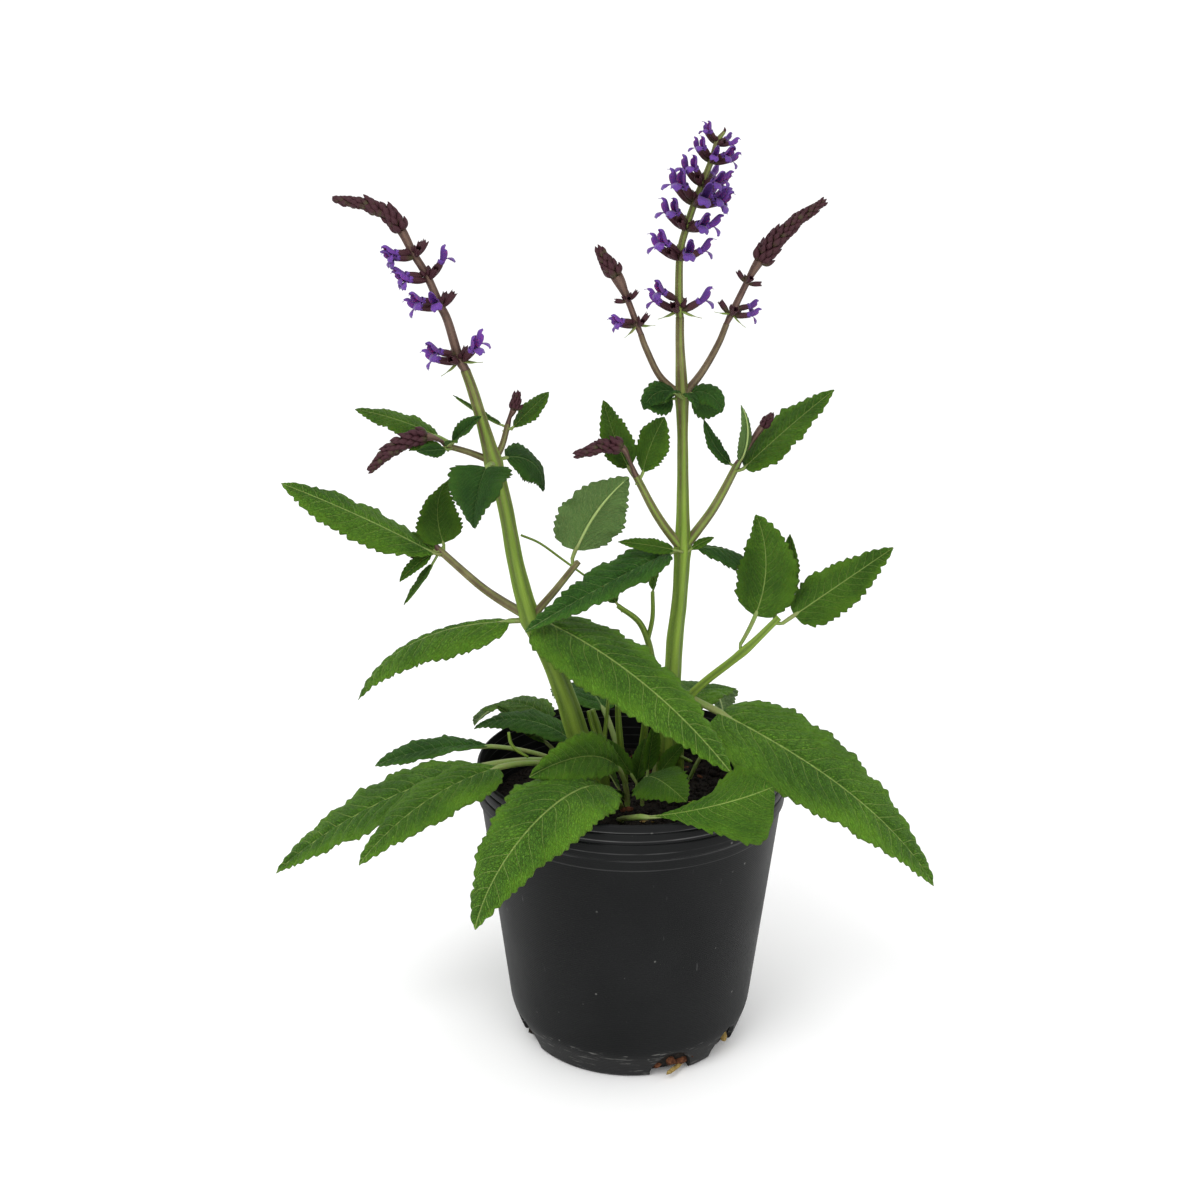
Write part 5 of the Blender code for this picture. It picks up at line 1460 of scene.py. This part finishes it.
# A closed head is rings of buds, each a small drop. They lie close on a cone and stand off a
# beaded head. Radii along one bud of size 1, from its root to its point:
BUD_RADII = (0.45, 1.05, 1.40, 1.30, 0.75, 0.12)
BUD_LENGTH = 5.8
HEAD_SCALE = 1.02
BUD_LEAN = 38.0
BEADED_LEAN = 28.0
HEAD_AXIS = 0.42          # the axis's radius inside a head, as a share of the one in its table
BETWEEN = 0.22            # where a few more, smaller florets stand between two whorls
BETWEEN_TURN = 38.0       # and how far they are turned from the whorl's own
BETWEEN_SIZE = 0.95
BEADED = ("spike_side_right", "spike_right", "bud_left_low_left")
HEAD_STEP = 2.7           # between two rings of buds
HEAD_RING = 7             # buds in a ring
FLORET_SCALE = 1.1
GREEN_AXIS = 0.6          # the tallest spike's axis is olive; the others are purple brown
WHORL_BUDS = 6            # closed buds round the axis in each whorl
BUD_BEND = 22.0           # how far a bud bends from its root to its point
BUD_STEP = 0.7
BUD_COLUMNS = 10
BUD_RIB = 0.07
LEAST_RADIUS = 0.08
STYLE_RADIUS = 0.22
INSIDE_ROWS = 5           # how far a bell's wall goes back down inside it
AXIS_STEP = 1.2
AXIS_COLUMNS = 16
BRACT_HEADINGS = (-20, 205)
SPIKE_SEED = 100
CALYX_TEETH = 5
COROLLA, CALYX, AXIS, BRACT = range(4)


def axis_frame(line, at):
    """The place on the axis, and its direction, its right and its back."""
    low = max(0, min(int(at), len(line) - 2))
    part = at - low
    place = line[low] + (line[low + 1] - line[low]) * part
    along = direction(line[low + 1, :3] - line[max(low - 1, 0), :3])
    back = direction(np.array([0.0, 1.0, 0.0]) - along * along[1])
    return place, along, np.cross(back, along), back


def floret_frame(frame, heading):
    """The root of one floret on the axis, its way out, its way up and its side."""
    place, along, right, back = frame
    turn = math.radians(heading)
    out = right * math.cos(turn) + back * math.sin(turn)
    return place[:3] + out * place[3] * 0.4, out, along, np.cross(along, out)


def follow(path, rows):
    """Even stations on a smooth curve through a path, and at each its direction, the way at right
    angles to that, and how far along the path it lies."""
    fine = smooth_line(path, 0.25)
    run = distance_along(fine[:, :2])
    at = np.linspace(0.0, run[-1], rows)
    line = np.stack([np.interp(at, run, fine[:, index]) for index in range(4)], 1)
    tangent = unit(np.gradient(line[:, :2], axis=0))
    level = np.stack([-tangent[:, 1], tangent[:, 0]], 1)
    return line, tangent, level, at / run[-1]


def petal(skin, frame, size, path, slot, tone, rows=14, half_columns=6, thick=0.32, notch=0.0,
          frill=0.0, skew=0.0):
    """A curved sheet with two faces; its edges bend by the path's cup."""
    root, out, up, side = frame
    line, tangent, level, share = follow(path, rows)
    c = np.linspace(-1.0, 1.0, 2 * half_columns + 1)
    wide = np.maximum(line[:, 2], LEAST_RADIUS)
    bow = line[:, 3][:, None] * wide[:, None] * (c[None, :] ** 2)
    bow = bow + frill * np.sin(5.0 * c[None, :] + 9.0 * share[:, None]) * share[:, None] ** 2
    slide = -notch * np.exp(-(c[None, :] / 0.28) ** 2) * share[:, None] ** 3
    flat = line[:, None, :2] + level[:, None] * bow[..., None] + tangent[:, None] * slide[..., None]
    sideways = wide[:, None] * np.sin(c[None, :] * 1.25) / math.sin(1.25) + skew * share[:, None]
    faces = []
    for part in (0.5, -0.5):
        shifted = flat + level[:, None] * thick * part * (1.0 - 0.6 * np.abs(c))[None, :, None]
        faces.append(root + size * (out * shifted[..., :1] + up * shifted[..., 1:2]
                                    + side * sideways[..., None]))
    depth = share[:, None]
    values = {"round": both_faces(pair((c + 1.0) / 4.0, depth * 20.0, bow.shape)),
              "tone": both_faces(pair(tone, depth, bow.shape))}
    skin.grid(np.concatenate([faces[0], faces[1][:, ::-1]], axis=1), values, slot, ring=True)


def bell(skin, frame, size, path, slot, tone, teeth, tooth, rows=9, columns=20, rib=0.05):
    """A hollow tube with a toothed mouth: down its outside and a little way back inside."""
    root, out, up, side = frame
    line, tangent, level, share = follow(path, rows)
    angle = circle(columns)
    reach = line[:, 2][:, None] * (1.0 + rib * np.cos(10 * angle))[None, :]
    crown_teeth = tooth * (0.5 + 0.5 * np.cos(teeth * angle)) ** 1.5
    slide = share[:, None] ** 6 * crown_teeth[None, :]

    def place(radius, push):
        flat = (line[:, None, :2] + level[:, None] * (radius * np.sin(angle)[None, :])[..., None]
                + tangent[:, None] * push[..., None])
        return root + size * (out * flat[..., :1] + up * flat[..., 1:2]
                              + side * (radius * np.cos(angle)[None, :])[..., None])

    outside = place(reach, slide)
    inside = place(reach * 0.84, slide * 0.96)[::-1][:INSIDE_ROWS]
    depth = np.concatenate([share, share[::-1][:INSIDE_ROWS]])[:, None]
    shape = (len(depth), columns + 1)
    skin.grid(np.concatenate([outside, inside]),
              {"round": pair(np.arange(shape[1]) / columns, depth * 20.0, shape),
               "tone": pair(tone, depth, shape)}, slot, ring=True)


def thread(skin, frame, size, path, slot, tone):
    """A thin style or stamen."""
    root, out, up, side = frame
    line, _, _, share = follow(path, 9)
    centre = root + size * (out * line[:, :1] + up * line[:, 1:2])
    rows = np.column_stack([centre, STYLE_RADIUS * (1.0 - 0.4 * share)])
    values = np.stack([np.full(len(rows), tone), share], -1)
    loft(skin, rows, np.ones(6), values, side=side, slot=slot)


def closed_bud(skin, frame, size, lean, tone):
    """One closed bud of a head, which leans from the axis and bends up at its point."""
    root, out, up, side = frame
    share = np.linspace(0.0, 1.0, len(BUD_RADII))
    lean = np.radians(lean + BUD_BEND * share)
    way = out * np.cos(lean)[:, None] + up * np.sin(lean)[:, None]
    rows = np.column_stack([root + way * (share * BUD_LENGTH * size)[:, None],
                            np.array(BUD_RADII) * size])
    rows = smooth_line(rows, BUD_STEP)
    rows[:, 3] = np.maximum(rows[:, 3], LEAST_RADIUS)
    values = np.stack([np.full(len(rows), tone), np.linspace(0.0, 1.0, len(rows))], -1)
    loft(skin, rows, 1.0 + BUD_RIB * np.cos(5 * circle(BUD_COLUMNS)), values, side=side, slot=CALYX)


def closed_head(skin, spike, line, chance):
    """Rings of closed buds, turned by half a bud from one ring to the next, and a last one on top."""
    first, size_low, size_tip = spike.dense
    run = distance_along(line[:, :3])
    lean = BEADED_LEAN if spike.name in BEADED else BUD_LEAN
    place, ring = run[first + 1], 0
    while place < run[-1] - 1.0:
        share = (place - run[first + 1]) / (run[-1] - run[first + 1])
        size = (size_low + (size_tip - size_low) * share) * HEAD_SCALE
        at = float(np.interp(place, run, np.arange(len(run))))
        count = HEAD_RING if share < 0.7 else HEAD_RING - 2
        for number in range(count):
            heading = (number + 0.5 * (ring % 2)) * 360.0 / count + chance.uniform(-7.0, 7.0)
            frame = floret_frame(axis_frame(line, at), heading)
            closed_bud(skin, frame, size * chance.uniform(0.88, 1.10),
                       lean + 24.0 * share + chance.uniform(-9.0, 9.0), chance.uniform())
        place += HEAD_STEP * size
        ring += 1
    closed_bud(skin, floret_frame(axis_frame(line, len(line) - 1.15), 0.0), size_tip, 88.0, 0.5)


STYLE_PATH = ((14.2, 9.0, 0.2, 0.0), (16.6, 10.0, 0.2, 0.0), (18.6, 9.6, 0.2, 0.0))


def floret(skin, frame, size, chance):
    """An open floret: calyx, corolla tube, hood, lower lip and style."""
    tone = chance.uniform()
    jitter = 1.0 + chance.uniform(-0.05, 0.05)
    bell(skin, frame, size, CALYX_PATH, CALYX, tone, CALYX_TEETH, 1.6)
    bell(skin, frame, size, TUBE_PATH, COROLLA, tone, 2, 0.2, rows=7, columns=16, rib=0.0)
    petal(skin, frame, size * jitter, HOOD_PATH, COROLLA, tone, thick=0.4)
    petal(skin, frame, size * jitter, LIP_PATH, COROLLA, tone, rows=16, half_columns=7, notch=1.1,
          frill=0.22, skew=chance.uniform(-0.3, 0.3))
    if chance.uniform() < 0.6:
        thread(skin, frame, size, STYLE_PATH, COROLLA, tone)


def make_axis(skin, spike):
    """The axis from inside the stem's end to the tip; gives back its points above the stem."""
    stem = np.array(spike.stem, dtype=float)
    end, radius = stem[-1, :3], stem[-1, 3]
    along = direction(end - stem[-2, :3])
    line = np.vstack([np.append(end + along * 2 * GAP, radius * 0.9), spike.rows])
    root = np.append(end - along * 3.0, radius * 0.92)
    axis = smooth_line(np.vstack([root, line]), AXIS_STEP)
    head_foot = line[spike.dense[0] + 1, :3]
    before_head = int(np.argmin(np.linalg.norm(axis[:, :3] - head_foot, axis=1)))
    tone = GREEN_AXIS if spike.name == "spike_right" else 1.0
    values = np.stack([np.full(len(axis), tone), np.linspace(0, 1, len(axis))], -1)
    loft(skin, axis[:before_head + 1], square_section(AXIS_COLUMNS, 0.08, 0.04),
         values[:before_head + 1], slot=AXIS)
    axis[:, 3] = np.maximum(axis[:, 3] * HEAD_AXIS, 0.5)
    loft(skin, axis[before_head - 1:], np.ones(BUD_COLUMNS), values[before_head - 1:], slot=CALYX)
    return line


def make_whorl(skin, spike, line, whorl, chance):
    """Open florets, closed buds and calyces round one place, and a few florets just above it."""
    row, size, open_headings, closed_headings = whorl
    frame = axis_frame(line, row + 1)
    size = size * FLORET_SCALE
    for heading in open_headings:
        floret(skin, floret_frame(frame, heading), size, chance)
    for number in range(WHORL_BUDS):
        heading = number * 360.0 / WHORL_BUDS + chance.uniform(-12.0, 12.0)
        closed_bud(skin, floret_frame(frame, heading), size * chance.uniform(0.75, 1.10),
                   BEADED_LEAN + chance.uniform(-14.0, 14.0), chance.uniform())
    for heading in closed_headings:
        bell(skin, floret_frame(frame, heading), size, CALYX_PATH, CALYX, chance.uniform(),
             CALYX_TEETH, 1.9)
    between = axis_frame(line, row + 1 + BETWEEN)
    crowded = open_headings if spike.name == "spike_right" and row >= 3 else open_headings[:1]
    for heading in crowded:
        floret(skin, floret_frame(between, heading + BETWEEN_TURN), size * BETWEEN_SIZE, chance)
    for heading in BRACT_HEADINGS if row == 0 else ():
        petal(skin, floret_frame(frame, heading), size, BRACT_PATH, BRACT, 0.2,
              rows=12, half_columns=4, thick=0.4)


def make_spike(spike, number):
    chance = np.random.default_rng(SPIKE_SEED + number)
    skin = Skin("round", "tone")
    line = make_axis(skin, spike)
    for whorl in spike.whorls:
        make_whorl(skin, spike, line, whorl, chance)
    closed_head(skin, spike, line, chance)
    slot = "corolla_violet" if spike.whorls else "bud_maroon"
    piece = skin.piece(f"florets_{spike.name}", corolla_skin, calyx_skin, stem_skin, stalk_skin)
    return show(piece, slot, spike.name)


for number, spike in enumerate(SPIKES):
    make_spike(spike, number)
print("spike triangles:", {name: count for name, count in triangle_counts.items() if "florets" in name})

# %% [markdown]
# ## Floor and light
#
# The plant stands on plain white paper. A broad soft light comes from above and a little to the
# left, and a weaker one from the front and right. A bright surround fills the shadows, and it also
# draws the pale glow along both sides of the dark pot. Lengths and places here are metres.

# %% Floor, light and surround
FLOOR_REACH = 6.0
LIGHT_POWER = 14.0
FILL_POWER = 4.0
SURROUND = 1.12
PAPER = (0.96, 0.96, 0.96, 1.0)
LIGHT_AIM = (0.0, 0.0, 0.2)


def make_floor():
    paper, _, _ = new_finish("paper")
    set_finish(paper, PAPER, 0.9, Specular_IOR_Level=0.0)
    bpy.ops.mesh.primitive_plane_add(size=FLOOR_REACH, location=(0.0, 0.0, -0.0002))
    floor = bpy.context.object
    floor.name = "paper_floor"
    floor.data.materials.append(paper)


def add_light(name, place, size, power):
    light = bpy.data.lights.new(name, "AREA")
    light.shape = "DISK"
    light.size = size
    light.energy = power
    made = bpy.data.objects.new(name, light)
    made.location = place
    made.rotation_euler = (Vector(LIGHT_AIM) - Vector(place)).to_track_quat("-Z", "Y").to_euler()
    bpy.context.scene.collection.objects.link(made)


make_floor()
add_light("soft_box", (-0.7, -1.0, 1.7), 1.0, LIGHT_POWER)
add_light("front_fill", (0.8, -1.3, 0.8), 1.2, FILL_POWER)
world = bpy.data.worlds.new("surround")
world.use_nodes = True
backdrop = world.node_tree.nodes["Background"]
backdrop.inputs["Color"].default_value = (1.0, 1.0, 1.0, 1.0)
backdrop.inputs["Strength"].default_value = SURROUND
bpy.context.scene.world = world
bpy.context.scene.view_settings.view_transform = "Standard"
print("light:", LIGHT_POWER, "W, surround:", SURROUND)

# %% [markdown]
# ## Size of the mesh
#
# The finer pieces should stay close to the plain model's box. Here the triangles of all of them are
# counted.

# %% Measure and finish
print("triangles:", sum(triangle_counts.values()))
